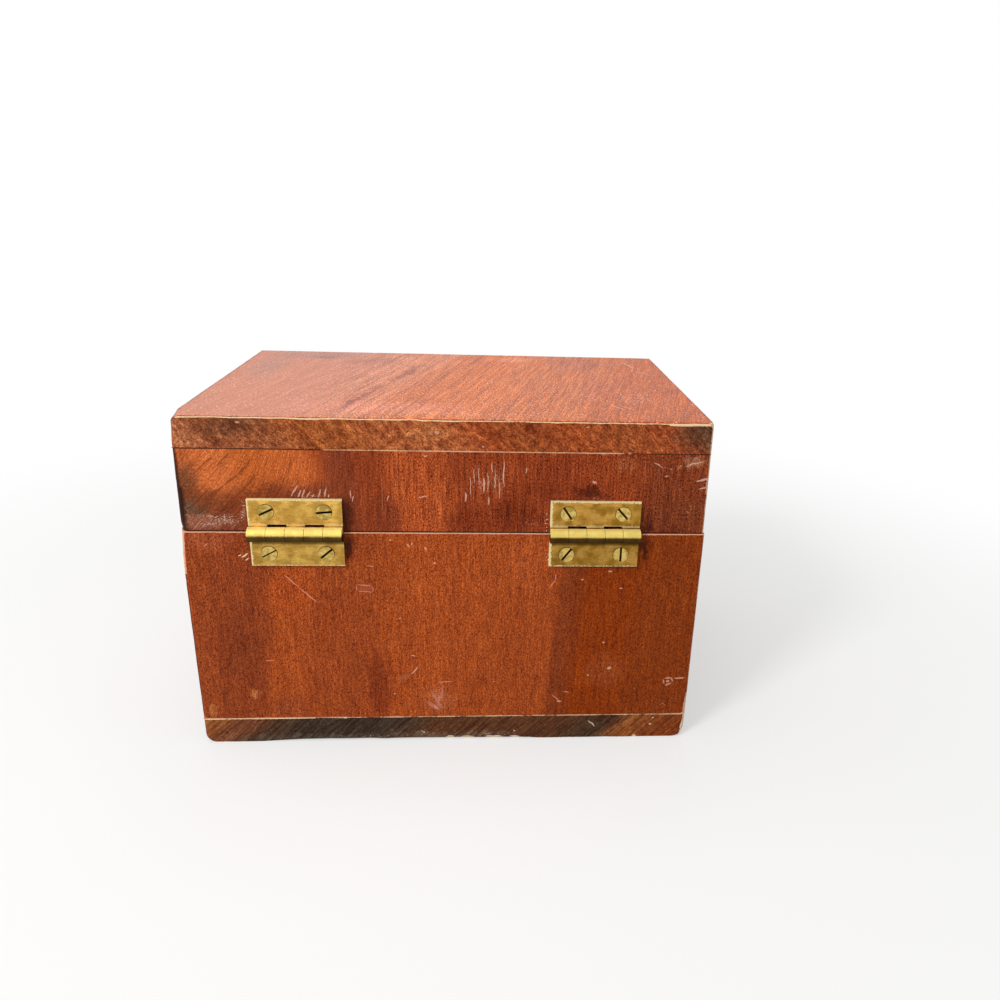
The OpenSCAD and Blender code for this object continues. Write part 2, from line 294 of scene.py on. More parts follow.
baseBackLook = {
    **lacquered, "lean": 0.095, "wander": 2.5, "lively": (-20, 30, 1.1, 1.15), "bare": "#e2a488",
    "tones": {"dark": "#883504", "edge": "#823815", "deep": "#84370b", "brown": "#8b3d1a", "mid": "#97431b",
        "warm": "#9f471b", "amber": "#a44a1d"},
    "bands": [(-73, "deep"), (-54, "deep"), (-48, "dark"), (-36, "dark"), (-31, "edge"), (-28.6, "edge"),
        (-27, "warm"), (-10, "warm"), (6, "amber"), (16, "amber"), (21, "warm"), (27, "mid"), (40, "mid"),
        (46, "amber"), (53, "warm"), (56, "brown"), (68, "brown"), (80, "mid")],
    "blooms": [("#783216", 0.55, 60, 32, 8, 20), ("#7b3013", 0.8, 20.5, 20, 5, 17),
        ("#a9491b", 0.6, 45, 50, 10, 10), ("#8e3b16", 0.6, 35, 44, 5, 14), ("#8b4020", 0.6, 48, 12, 8, 7),
        # the near-black spots at x 27.5 and -56 are painted shadows that the base leaves cast to their -X
        # sides
        ("#4c1c09", 0.95, 27.5, 64.5, 2.6, 5), ("#4d1c07", 0.95, -56, 64, 2, 5.4),
        ("#a04e2c", 0.7, 66, 66, 10, 5), ("#ab5026", 0.5, -22, 60, 8, 12), ("#97481f", 0.6, -47, 24, 8, 8),
        # the near-black strips at x 41.8 and -41.8 are painted shade behind the hinge barrels
        ("#a8552f", 0.5, 3, 14, 9, 8), ("#1c0e07", 0.95, 41.8, 71.2, 12, 1.2),
        ("#1c0e07", 0.95, -41.8, 71.2, 12, 1.2), ("#c07a44", 0.75, 56.8, 16.7, 2.6, 2.2),
        ("#b8703c", 0.7, 70.3, 11.2, 2, 2.2)],
    "marks": [
        ("#e08f70", 0.8, 0.35, [(11, 65.1, 1, 0.45, 60)], [
            (45.9, 56.1, 41.8, 52, 0.26), (41.8, 52, 36.7, 46.8, 0.22), (53, 28.2, 50.7, 28.6, 0.24),
            (-30.8, 56.7, -30.7, 54.4, 0.18), (-30.7, 54.7, -29, 51.5, 0.18),
            (66.8, 64.6, 65.6, 65.6, 0.25), (3.6, 20.6, -1.1, 20.6, 0.22), (-13, 20.6, -13.9, 20.6, 0.2),
            (-30.8, 16.5, -33.4, 13.5, 0.2), (-34.8, 17, -36.3, 16.8, 0.26),
            (22.8, 58.7, 20.9, 58.5, 0.2)]),
        ("#a9583c", 0.45, 0.5, [(23.5, 51.6, 2.7, 1.3, -6)], []),
        ("#cf866c", 0.75, 0.5, [], [
            (26, 52.9, 21.2, 52.3, 0.22), (21.3, 52.4, 21.4, 50.4, 0.2), (21.4, 50.4, 25.5, 51, 0.2),
            (25.5, 50.9, 26, 52.8, 0.18)]),
        ("#dba48c", 0.8, 0.6, [], [(9, 26.1, 11.3, 23.2, 0.3), (4.4, 12.4, 3.3, 11.3, 0.5)]),
        ("#c4806a", 0.6, 1.2, [], [
            (6.6, 13.4, 2.6, 10.9, 0.8), (5.2, 17.2, 2, 11, 0.7), (1.6, 19, 3.6, 12, 0.6)]),
        ("#a4663f", 0.5, 1, [], [(11.3, 23.2, 16.1, 21.2, 0.9)]),
        ("#e2a888", 0.75, 0.8, [(3.8, 59.7, 0.55, 0.4), (10.4, 29.7, 0.9, 0.22, 10), (16.2, 16.5, 0.4, 0.3),
            (13.8, 42, 0.35, 0.28), (16.1, 66.7, 0.45, 0.3), (-46.4, 57.2, 0.8, 0.35),
            (-38.4, 54.5, 0.8, 0.3), (-49.9, 51.8, 0.6, 0.26), (-48.1, 24.8, 0.75, 0.5),
            (-41.8, 22.6, 0.4, 0.35), (-45.7, 33.7, 0.4, 0.35), (-33.4, 13.3, 0.7, 0.35, 20),
            (6.4, 64, 0.4, 0.7), (9.9, 65.6, 0.3, 0.7, 20)], [
            (-68.4, 21.2, -71.8, 21.5, 0.3)]),
        ("#d49a80", 0.8, 1, [(-66.5, 20.3, 0.6, 0.5)], [
            (-65.4, 21.3, -67.6, 21.3, 0.36), (-67.6, 21.4, -67.9, 20, 0.34),
            (-67.6, 19.6, -65.6, 18.9, 0.36), (-65.3, 19.2, -65.1, 21, 0.3)]),
        ("#ecd8b0", 0.85, 0.4, [], [
            (56.8, 61.2, 55, 62.6, 0.3), (56, 60.2, 55, 61.2, 0.2), (57.6, 61.6, 56.9, 62.3, 0.2)])],
    "specks": [
        ("#d39a80", 0.8, 0.9, (0.4, 0.5, 0.4), [(2.4, 15, 7.5, 4, 62)]),
        ("#e2c2a0", 0.85, 0.95, (0.45, 0.5, 0.45), [(-28.2, 61.5, 1, 5)]),
        ("#c98a6c", 0.7, 0.62, (0.5, 0.6, 0.5), [(-20, 59.2, 9, 3), (61, 60.2, 5.5, 2.4, 20),
            (-66, 12, 8, 6)])]}

lidBackLook = {
    **lacquered, "wander": 3, "lean": -0.12, "sweep": (28, 62, 80, 0.95), "lively": (10, 25, 1.6, 1.1),
    "layers": [((3.2, 45, 3.2), 0.07), ((0.9, 14, 0.9), 0.12), ((0.4, 6, 0.4), 0.24),
        ((0.26, 0.6, 0.26), 0.45)],
    "tones": {"red": "#883819", "rust": "#8e3c1a", "plum": "#80391c", "amber": "#a64b22", "dark": "#82391e",
        "orange": "#c0602e", "bright": "#c96a37", "honey": "#b65a26"},
    "bands": [(-83, "plum"), (-68, "plum"), (-60, "rust"), (-40, "red"), (-26, "rust"), (-13, "rust"),
        (-8, "amber"), (3, "amber"), (8, "rust"), (12, "rust"), (16, "dark"), (20, "dark"), (23.5, "amber"),
        (28, "orange"), (42, "honey"), (52, "bright"), (60, "orange"), (64, "amber")],
    "blooms": [("#7a4428", 0.95, 70, 82, 5, 11, 12), ("#7b3a1e", 1, 60, 73, 26, 10.5, -6),
        ("#7a3d1f", 0.95, 67.5, 76.5, 10, 7.5), ("#7f3a1d", 1, 44, 77, 18, 9.5),
        ("#803b20", 0.9, 34, 79, 6, 7), ("#674733", 0.85, 69, 75.5, 6, 4),
        # the near-black spots at x 27.4 and -56.4 are painted shadows that the lid leaves cast to their -X
        # sides
        ("#9a6049", 0.75, 66, 71.5, 11, 2.6), ("#4f2010", 0.95, 27.4, 72.5, 3.2, 10),
        ("#7c351a", 0.9, 17, 73.5, 5.5, 10, -6), ("#7b2f12", 0.85, -6, 72.5, 9, 7),
        ("#702a0e", 0.85, -19, 74, 9, 8), ("#4f1c09", 0.95, -56.4, 72, 2.2, 7),
        ("#551f09", 0.9, -39, 81, 7, 2.8, 8), ("#7b3013", 0.7, -26, 82, 12, 3),
        ("#a85a33", 0.7, -49, 89.5, 4, 3), ("#a4684a", 0.7, -68, 90.5, 5, 2.4),
        ("#74351a", 0.75, -64, 74, 14, 8), ("#94502f", 0.5, -14, 84, 3, 6),
        # the near-black strips at x 41.8 and -41.8 are painted shade behind the hinge barrels
        ("#1c0e07", 0.95, 41.8, 71.2, 12, 1.2), ("#1c0e07", 0.95, -41.8, 71.2, 12, 1.2),
        ("#56200f", 0.7, -60, 69.6, 14, 1)],
    "marks": [
        ("#7e3a18", 0.75, 0.3, [], [
            (51.8, 90, 53.2, 87.6, 0.34), (53, 88, 55.9, 85, 0.4), (55.4, 85.4, 59.9, 82.2, 0.5),
            (59.2, 82.7, 64.5, 78.4, 0.6), (50.6, 85.8, 53.9, 81.8, 0.36), (53.4, 82.3, 58.4, 77.6, 0.45),
            (46.8, 91.2, 49, 86.4, 0.26), (41.2, 90.6, 43, 84.2, 0.24), (57.2, 91.6, 61.6, 87, 0.28),
            (62, 90.4, 66, 86.2, 0.26)]),
        ("#dfb59f", 0.75, 0.9, [], [
            (-5.1, 81.1, -5.1, 77.9, 0.24), (-7.4, 88.1, -7.4, 83.3, 0.16), (-9.9, 85.5, -9.9, 80.7, 0.36),
            (-11.4, 79.7, -11.4, 77, 0.2), (-12.1, 89.8, -12.2, 86.6, 0.16), (-12.9, 87.5, -13, 81.7, 0.17),
            (-15.4, 90.8, -15.5, 82.3, 0.24), (-8.6, 89, -8.7, 82, 0.13), (-11, 87, -11.1, 81, 0.15),
            (-14.1, 86, -14.2, 79, 0.15), (-6.3, 86, -6.3, 80, 0.13), (-21.7, 88.3, -21.4, 86.6, 0.2)]),
        ("#dcae9c", 0.75, 0.9, [(5.8, 91.3, 0.45, 0.35), (-40.5, 84.2, 0.8, 0.6),
            (-60.5, 86.3, 0.6, 0.3)], [
            (39.9, 83, 42.2, 79, 0.3), (39.2, 81.2, 40.4, 79, 0.28), (38.2, 81.6, 39.3, 79, 0.24),
            (36.9, 80.8, 37.9, 79, 0.25), (35.9, 80, 36.4, 79, 0.24), (34, 81.6, 34.9, 79, 0.25),
            (32.6, 81.9, 33, 79.2, 0.27), (31.9, 80.2, 32.1, 79.2, 0.2), (26.1, 81.3, 26, 79, 0.2),
            (25.3, 79.8, 25.9, 77.8, 0.16), (15.7, 79.9, 16.4, 78.1, 0.16), (8.1, 79.2, 5.3, 79.8, 0.22),
            (-56.5, 90.3, -59.2, 88.7, 0.22), (-65.4, 89, -70.4, 90.8, 0.26),
            (-68.9, 84.9, -72.4, 85.6, 0.4), (-69.8, 82.6, -72.4, 82.9, 0.3)]),
        ("#c2714a", 0.5, 0.5, [], [(2.9, 81.1, 3.1, 71.2, 0.16), (17.6, 86, 17.7, 75, 0.14)])],
    "specks": [
        ("#d3b0a0", 0.75, 1.15, (0.5, 0.32, 0.4), [(63.5, 73.4, 10, 1.3, 2), (63.5, 71.2, 10, 1.3),
            (55.2, 74, 1.6, 5), (60, 72.5, 9, 3.4, 4)]),
        ("#b49c90", 0.6, 0.85, (0.6, 0.5, 0.5), [(69.5, 73.5, 4, 6)]),
        ("#dcb9a4", 0.85, 0.9, (0.4, 0.4, 0.4), [(37, 79.3, 6, 1.1), (54.9, 76, 1.3, 5)]),
        ("#e2c6a6", 0.9, 1, (0.45, 0.5, 0.45), [(-27.3, 71.5, 1.3, 8)]),
        ("#b3867a", 0.6, 0.85, (0.5, 0.5, 0.5), [(-22.5, 71.8, 6.5, 2.8), (-42, 79.4, 9, 1.4)]),
        ("#cfa08c", 0.6, 0.7, (0.3, 1.3, 0.3), [(-9.5, 83.5, 7.5, 7.5)]),
        ("#d29c7e", 0.7, 0.7, (0.7, 0.5, 0.5), [(-63, 88.2, 10, 3.2, -14), (-68, 76, 6, 8)])]}

frontLook = {
    **lacquered, "seed": (140, 35, 0), "lean": -0.03,
    "tones": {"dark": "#7f3312", "mid": "#8d3f18", "warm": "#9a481b"},
    "bands": [(-73, "mid"), (-58, "warm"), (-41, "dark"), (-30, "mid"), (-12, "warm"), (7, "warm"),
        (16, "dark"), (30, "mid"), (46, "warm"), (63, "mid"), (73, "dark")],
    "blooms": [("#783110", 0.5, -30, 40, 8, 30, 2), ("#a5501f", 0.4, 20, 78, 12, 10)],
    "marks": [
        ("#e08f70", 0.8, 0.4, [], [(-22, 41, -30, 47, 0.2), (33, 22, 36, 18, 0.3)]),
        ("#e6c3a6", 0.85, 0.4, [(48, 31, 0.7, 0.4), (-14, 21, 0.5, 0.5), (7, 57, 0.6, 0.3),
            (-52, 62, 0.7, 0.4, 20)], [])],
    "specks": [
        ("#d39a80", 0.7, 0.7, (0.6, 0.7, 0.6), [(12, 80, 6, 3, 20), (-48, 18, 6, 4), (0, 70, 9, 1.5)])]}

sideLook = {
    **lacquered, "axes": "YZX", "seed": (60, 10, 30), "lean": 0.03,
    "tones": {"dark": "#7d3413", "mid": "#8c3e18", "warm": "#9a471b"},
    "bands": [(-48, "mid"), (-36, "warm"), (-22, "mid"), (-8, "warm"), (4, "warm"), (13, "dark"),
        (24, "mid"), (38, "warm"), (48, "dark")],
    "blooms": [("#78310f", 0.5, 10, 30, 7, 30, -3), ("#a35022", 0.4, -30, 75, 10, 16)],
    "marks": [
        ("#e08f70", 0.75, 0.4, [], [(-12, 36, -4, 33, 0.2), (26, 52, 29, 57, 0.2)]),
        ("#e6c3a6", 0.8, 0.4, [(-33, 24, 0.6, 0.4), (14, 61, 0.5, 0.4)], [])],
    "specks": [("#d39a80", 0.7, 0.65, (0.6, 0.7, 0.6), [(30, 16, 6, 3, 10), (-20, 84, 7, 3)])]}

# The top has faded in the light and is dulled by many fine rubs, so it shines more broadly and paler. Its
# paler, pinker tones are partly painted sheen: the lacquer's reflection of a bright surround at a low angle,
# laid into the colour.
topLook = {
    **lacquered, "axes": "XYZ", "turn": 14, "lean": -0.26, "wander": 8, "wanderSize": (30, 45, 22),
    "roughness": 0.46, "shine": 0.5, "bare": "#f0cba2", "lively": (20, 45, 1.35, 0.55),
    "tones": {"pink": "#c17a60", "rose": "#c87a58", "warm": "#bf6636", "gold": "#ca6a35", "red": "#b45828"},
    "bands": [(-73, "red"), (-55, "red"), (-44, "warm"), (-30, "warm"), (-8, "gold"), (6, "warm"),
        (16, "rose"), (34, "pink"), (73, "pink")],
    "blooms": [("#96756c", 0.6, 50, -40, 24, 9), ("#a5786c", 0.5, 62, -20, 8, 28),
        ("#85544a", 0.5, 46, -36, 7, 4), ("#d9866a", 0.5, 20, 36, 34, 10),
        ("#a95a3e", 0.6, -43, -32, 16, 20), ("#b15c3c", 0.5, -44, 8, 8, 30, -14),
        ("#dd8c68", 0.6, -20, -38, 9, 7), ("#8a4433", 0.9, 25.5, 24, 2, 24, -16),
        ("#8e4936", 0.85, 16, -10, 2.2, 26, -15), ("#a36654", 0.5, 30, -30, 14, 7, 20),
        ("#a4573f", 0.6, 7, 30, 1.6, 14, -16), ("#9d4f36", 0.7, -6, -32, 1.8, 14, -16),
        ("#a9604e", 0.5, 36, 8, 1.6, 20, -14), ("#b05f40", 0.5, -26, 4, 2, 24, -12)],
    "marks": [
        ("#f0c4b0", 0.6, 0.7, [], [
            (-46, 27, -50, 35, 0.3), (-49, 29, -53, 35, 0.25), (-60.5, -38, -63, -26, 0.3),
            (-62, -22, -67, -15, 0.3)])],
    "specks": [
        ("#f8d8c8", 0.8, 0.75, (0.5, 0.9, 0.5), [(-55, 20, 16, 22, -30), (0, 42, 70, 7)]),
        ("#9a4f38", 0.6, 0.7, (0.5, 1.2, 0.6), [(8, 5, 30, 45, 10), (-52, -10, 22, 26)])],
    "flecks": [("#f6ccb8", 0.7, 0.6, (0.5, 1, 0.55), [(-10, 0, 900, 900)])],
    "layers": [((3.5, 60, 3.5), 0.05), ((1.1, 30, 1), 0.14), ((0.6, 12, 0.9), 0.2),
        ((0.34, 0.9, 0.4), 0.5)],
    "reliefSize": (0.6, 1, 0.6), "relief": 0.06}

# End grain of the top board: growth rings cut across, which slope down from left to right.
topEndLook = {
    **lacquered, "turn": 45, "lean": -0.8, "wander": 6, "bare": "#f3cfa4",
    "tones": {"mud": "#92502f", "brown": "#914822", "ochre": "#9a5127", "rust": "#9a4722",
        "shade": "#734a35", "clay": "#ae6a45", "glow": "#a85b32", "rosy": "#a34d27", "tan": "#994e27"},
    "bands": [(-170, "shade"), (-148, "shade"), (-141, "rosy"), (-126, "tan"), (-112, "rust"),
        (-98, "brown"), (-88, "rust"), (-76, "glow"), (-62, "glow"), (-50, "ochre"), (-40, "ochre"),
        (-29, "mud"), (-14, "mud"), (-7, "clay"), (0, "brown")],
    "layers": [((1.4, 9, 9), 0.2), ((0.7, 3, 3), 0.24), ((1.3, 1.7, 1.3), 0.34), ((0.3, 0.5, 0.3), 0.55)],
    "blooms": [("#583622", 0.7, -67, 98, 9, 6), ("#693c24", 0.75, 57, 98.5, 13, 4.2),
        ("#c27a4a", 0.6, 5, 97.4, 8, 2.4), ("#85391a", 0.6, -22, 99, 5, 2.4)],
    "marks": [
        ("#d9a288", 0.7, 0.8, [(54.5, 99.8, 0.8, 0.35), (-9.8, 93.9, 0.5, 0.4), (-37.8, 99.9, 0.5, 0.3),
            (2.5, 97.8, 0.8, 0.4)], [])]}

boardSideLook = {
    **lacquered, "axes": "ZYX", "seed": (20, 70, 0), "wander": 1.5,
    "tones": {"dark": "#753618", "mid": "#86411f", "warm": "#93491f"},
    "bands": [(91, "mid"), (94, "warm"), (97, "dark"), (99.5, "mid"), (102, "warm")],
    "specks": [("#d39a80", 0.7, 0.65, (0.5, 0.7, 0.5), [(97, -20, 4, 14), (99, 30, 3, 12)])]}

bottomLook = {
    **lacquered, "axes": "XYZ", "seed": (10, 90, 0), "lean": 0.05, "roughness": 0.5,
    "tones": {"dark": "#43291a", "mid": "#573019", "warm": "#6b3a1f"},
    "bands": [(-73, "mid"), (-45, "warm"), (-20, "dark"), (6, "mid"), (28, "dark"), (50, "mid"),
        (73, "warm")],
    "blooms": [("#50301f", 0.4, 0, 0, 40, 25, 20)],
    "specks": [
        ("#b98c6c", 0.7, 0.65, (0.9, 0.5, 0.5), [(-30, 20, 12, 4, 30), (35, -25, 14, 4, -20),
            (5, -5, 18, 3, 5), (0, 44, 60, 3)])]}

# End grain of the bottom board: darker, with rings that slope up from left to right.
bottomEndLook = {
    **lacquered, "turn": -45, "lean": 1, "wander": 4, "bare": "#f4d9b4",
    "tones": {"black": "#3d2d23", "soot": "#4b3423", "brown": "#5a351f", "rust": "#833e19",
        "red": "#744128", "gold": "#8f5228"},
    "bands": [(-69, "rust"), (-62, "rust"), (-50, "gold"), (-44, "soot"), (-36, "soot"), (-30, "brown"),
        (-16, "brown"), (-4, "brown"), (10, "brown"), (16, "soot"), (24, "black"), (50, "black"),
        (58, "soot"), (66, "red"), (70, "red"), (77, "gold")],
    "blooms": [("#47240f", 0.7, -48, 7.2, 6, 1.4), ("#5c5044", 0.5, 40, 1.4, 40, 1.6),
        ("#75614e", 0.5, 0, 1.8, 26, 1.8)],
    "layers": [((0.9, 12, 12), 0.4), ((0.4, 5, 5), 0.3), ((0.7, 1.2, 0.8), 0.16), ((0.4, 0.6, 0.42), 0.34)],
    "marks": [
        ("#d9bb98", 0.85, 0.7, [(-62.2, 4.7, 0.6, 0.5), (-62.9, 7.2, 0.5, 0.3), (-20, 3, 0.5, 0.4)], [
            (-42.7, 6.2, -44.8, 4.2, 0.3)])],
    "specks": [
        ("#c9b8a2", 0.85, 1, (0.7, 0.5, 0.5), [(8, 2.8, 4.5, 2.2)]),
        ("#b8a48c", 0.75, 0.85, (0.7, 0.4, 0.5), [(25, 1.5, 22, 1.3), (-12, 1.8, 18, 1.6)])]}

# Bare walnut inside the box: planed, never coated, so it is paler, duller and dry to the touch.
planed = {
    **lacquered, "roughness": 0.62, "shine": 0.3, "bare": "#c89a72", "seed": (300, 0, 0),
    "tones": {"dark": "#7c5033", "mid": "#8a5b3b", "pale": "#976545"}, "flecks": [],
    "bands": [(-73, "mid"), (-40, "pale"), (-10, "dark"), (20, "pale"), (48, "mid"), (73, "pale")],
    "layers": [((3.2, 45, 3.2), 0.1), ((0.9, 14, 0.9), 0.14), ((0.3, 3.5, 0.3), 0.22),
        ((0.5, 0.8, 0.5), 0.16)]}
planedSideLook = {**planed, "axes": "YZX", "seed": (200, 40, 0)}
planedBoardLook = {**planed, "axes": "XYZ", "seed": (400, 60, 0)}

# Sawn rim: end grain left by the saw that parted lid and base, rough and pale.
rimLook = {
    **planed, "axes": "XYZ", "seed": (500, 20, 0), "roughness": 0.7,
    "tones": {"dark": "#8f5f41", "mid": "#9a6848", "pale": "#a8714e"},
    "layers": [((0.5, 0.5, 0.5), 0.22), ((60, 0.9, 60), 0.08)], "reliefSize": (40, 0.8, 40), "relief": 0.05}

woods = {key: woodMaterial(name, look) for key, name, look in (
    ("baseBack", "lacquered walnut, back of the base", baseBackLook),
    ("lidBack", "lacquered walnut, back of the lid", lidBackLook),
    ("front", "lacquered walnut, front", frontLook),
    ("side", "lacquered walnut, sides", sideLook),
    ("top", "faded lacquered walnut, top", topLook),
    ("topEnd", "lacquered end grain, top board", topEndLook),
    ("boardSide", "lacquered walnut, sides of the top board", boardSideLook),
    ("bottom", "lacquered walnut, underside", bottomLook),
    ("bottomEnd", "lacquered end grain, bottom board", bottomEndLook),
    ("insideBack", "planed walnut, front and back inside", planed),
    ("insideSide", "planed walnut, sides inside", planedSideLook),
    ("insideBoard", "planed walnut, boards inside", planedBoardLook),
    ("rim", "sawn walnut, rims", rimLook))}
print("wood finishes:", len(woods))


# Boards. Each is a closed lattice of points over its CAD box, finer towards its edges, which are then
# rounded, rubbed and chipped. Each point also says how bare the wood is there, and how dark it is with dirt
# and painted shade.
lattice = {"step": 0.8, "fine": [0.09, 0.12, 0.15, 0.18, 0.2, 0.22, 0.25, 0.35, 0.5, 0.65],
           "jointRadius": 0.1, "sharp": 50}
# sizes in millimetres and seeds of the noises that wear a board's edges, and how they show
rubbing = {"rub": (7, 3.1), "chip": (2.4, 11.7), "chipFrom": 0.38, "chipBare": 2.2, "chipRim": (1.3, 0.15),
           "knock": (1.1, 5.3), "knockReach": 1.25, "ragged": (0.75, 0.5), "patch": (4.5, 21.0)}


def gradedLines(low, high, extra):
    margin = np.cumsum([0.0] + lattice["fine"])
    count = max(2, round((high - low - 2 * margin[-1]) / lattice["step"]) + 1)
    inner = np.linspace(low + margin[-1], high - margin[-1], count)
    lines = np.concatenate([low + margin[:-1], inner, high - margin[-2::-1]])
    for value in extra:
        if low < value < high:
            lines[np.argmin(abs(lines - value))] = value
    return lines


def latticeSolid(lines, filled):
    # the skin of the filled cells: points, quads that face outwards and the side that each faces
    counts = [len(line) for line in lines]
    cells = np.pad(filled, 1).astype(int)
    quads, faces = [], []
    for axis in range(3):
        second, third = (axis + 1) % 3, (axis + 2) % 3
        change = np.diff(cells, axis=axis)
        for sign in (1, -1):
            at = np.argwhere(change == -sign)
            at[:, second] -= 1
            at[:, third] -= 1
            corners = []
            for a, b in ((0, 0), (1, 0), (1, 1), (0, 1))[::sign]:
                corner = at.copy()
                corner[:, second] += a
                corner[:, third] += b
                corners.append(np.ravel_multi_index(corner.T, counts))
            quads.append(np.stack(corners, 1))
            faces += ["xyz"[axis] + ("+" if sign > 0 else "-")] * len(at)
    used, quads = np.unique(np.concatenate(quads), return_inverse=True)
    at = np.unravel_index(used, counts)
    points = np.stack([lines[axis][at[axis]] for axis in range(3)], 1)
    return points, quads.reshape(-1, 4), np.array(faces)


def noiseAt(points, size, seed):
    return np.array([noise.noise(Vector((p[0] / size + seed, p[1] / size, p[2] / size))) for p in points])


def shapeBoard(node, look):
    low, high = [np.array(corner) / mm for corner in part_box(node)]
    lines = [gradedLines(low[a], high[a], look.get("lines", {}).get("xyz"[a], ())) for a in range(3)]
    middles = np.meshgrid(*[(line[1:] + line[:-1]) / 2 for line in lines], indexing="ij")
    filled = np.ones(middles[0].shape, bool)
    if "rabbet" in look:
        innerX, innerY = look["rabbet"]
        filled &= ~((abs(middles[0]) > innerX) & (abs(middles[1]) < innerY))
    start, quads, faces = latticeSolid(lines, filled)
    depth = {"xyz"[a] + "-": start[:, a] - low[a] for a in range(3)}
    depth.update({"xyz"[a] + "+": high[a] - start[:, a] for a in range(3)})
    points = start.copy()

    # how much more than its radius each edge has lost to wear and to chips
    rub = 1 + look.get("rub", 0.25) * noiseAt(start, *rubbing["rub"])
    chips = np.clip(noiseAt(start, *rubbing["chip"]) - rubbing["chipFrom"], 0, 1) * look["chips"]
    least, swing = rubbing["ragged"]
    for place, size, bite in look.get("knocks", ()):
        distance = np.linalg.norm((start - place) / size, axis=1)
        ragged = least + swing * noiseAt(start, *rubbing["knock"])
        chips = np.maximum(chips, bite * np.clip(rubbing["knockReach"] - distance, 0, 1) * ragged)
    softened = np.zeros(len(start))
    for place, size, more in look.get("softened", ()):
        distance = np.linalg.norm((start - place) / size, axis=1)
        softened = np.maximum(softened, more * np.clip(2 - 2 * distance, 0, 1))

    def radius(sideA, sideB):
        edge = look["edges"].get(sideA + sideB, look["edges"].get(sideB + sideA))
        if edge is None:
            return lattice["jointRadius"] * (0.8 + 0.2 * rub)
        return edge * rub + chips + softened

    # first the four edges that run along the sweep, then the edges at its two ends
    ways = {"-": -1, "+": 1}
    sweep = look["sweep"]
    first, second = [axis for axis in "xyz" if axis != sweep]
    firstPart, secondPart, sweepPart = [points[:, "xyz".index(axis)] for axis in (first, second, sweep)]
    outline = np.stack([depth[first + "-"], depth[first + "+"], depth[second + "-"], depth[second + "+"]])
    inside = outline.min(0)
    normal = np.array([(-1, 0), (1, 0), (0, -1), (0, 1)], float)[outline.argmin(0)]
    for signA, wayA in ways.items():
        for signB, wayB in ways.items():
            bend = radius(first + signA, second + signB)
            u = np.maximum(bend - depth[first + signA], 0)
            w = np.maximum(bend - depth[second + signB], 0)
            corner = (u > 0) & (w > 0)
            most, length = np.maximum(u, w), np.maximum(np.hypot(u, w), 1e-9)
            give = np.where(corner, 1 - most / length, 0)
            firstPart -= wayA * u * give
            secondPart -= wayB * w * give
            inside = np.where(corner, bend - most, inside)
            normal = np.where(corner[:, None], np.stack([wayA * u / length, wayB * w / length], 1), normal)
    for sign, way in ways.items():
        end = sweep + sign
        sideA = np.where(normal[:, 0] > 0, radius(first + "+", end), radius(first + "-", end))
        sideB = np.where(normal[:, 1] > 0, radius(second + "+", end), radius(second + "-", end))
        bend = normal[:, 0] ** 2 * sideA + normal[:, 1] ** 2 * sideB
        u = np.maximum(bend - inside, 0)
        w = np.maximum(bend - depth[end], 0)
        corner = (u > 0) & (w > 0)
        give = np.where(corner, 1 - np.maximum(u, w) / np.maximum(np.hypot(u, w), 1e-9), 0)
        firstPart -= normal[:, 0] * u * give
        secondPart -= normal[:, 1] * u * give
        sweepPart -= way * w * give
    for way, *insets in look.get("narrowed", ()):
        beyond = np.maximum(way * points[:, 0] - rabbetX, 0)
        points[:, 0] -= way * beyond / wallT * np.interp(start[:, 2], *zip(*insets))

    # what the finish has lost there, and the dirt and painted shade it carries
    patchy = noiseAt(start, *rubbing["patch"])

    def along(edge, amount, width, span=None, offset=0.0, power=1.0, spread=0.45):
        # a share that is greatest on the edge, or as far below it as the offset, and 0 a width away. A
        # span of positions (axis, from, to) holds it to a part of the edge.
        reach = np.hypot(depth[edge[:2]], depth[edge[2:]] - offset * (1 + 0.5 * patchy))
        share = np.clip(1 - reach / width, 0, 1) ** power * (amount + spread * patchy)
        if span is None:
            return share
        axis, low, high = span
        place = start[:, "xyz".index(axis)]
        return share * np.clip(np.minimum(place - low, high - place) + 0.5, 0, 1)

    bare = np.max([along(*edge) for edge in look.get("worn", ())] + [np.zeros(len(start))], 0)
    dirtAndShade = np.max([along(*edge, power=0.6, spread=0.3) for edge in look.get("grimeAndShade", ())]
                  + [np.zeros(len(start))], 0)
    nearEdge = np.sort(np.stack(list(depth.values())), 0)[1]
    wider, over = rubbing["chipRim"]
    bare = np.maximum(bare, np.clip(chips * rubbing["chipBare"], 0, 1) * (nearEdge < wider * chips + over))

    mesh = bpy.data.meshes.new(node + "_wood")
    mesh.from_pydata(points * mm, [], quads.tolist())
    for name, values in (("bare", bare), ("dirtAndShade", dirtAndShade)):
        mesh.attributes.new(name, "FLOAT", "POINT").data.foreach_set("value", values.astype(np.float32))
    slots = sorted(set(look["skins"].values()))
    for key in slots:
        mesh.materials.append(woods[key])
    mesh.polygons.foreach_set("material_index", [slots.index(look["skins"][face]) for face in faces])
    mesh.polygons.foreach_set("use_smooth", [True] * len(mesh.polygons))
    mesh.set_sharp_from_angle(angle=math.radians(lattice["sharp"]))
    return show(node + "_wood", mesh)


backY, topZ = [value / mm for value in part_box("top_board")[1][1:]]
innerCorner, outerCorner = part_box("lid_right")
rabbetX, lipY = innerCorner.x / mm, outerCorner.y / mm
wallT = (outerCorner.x - innerCorner.x) / mm

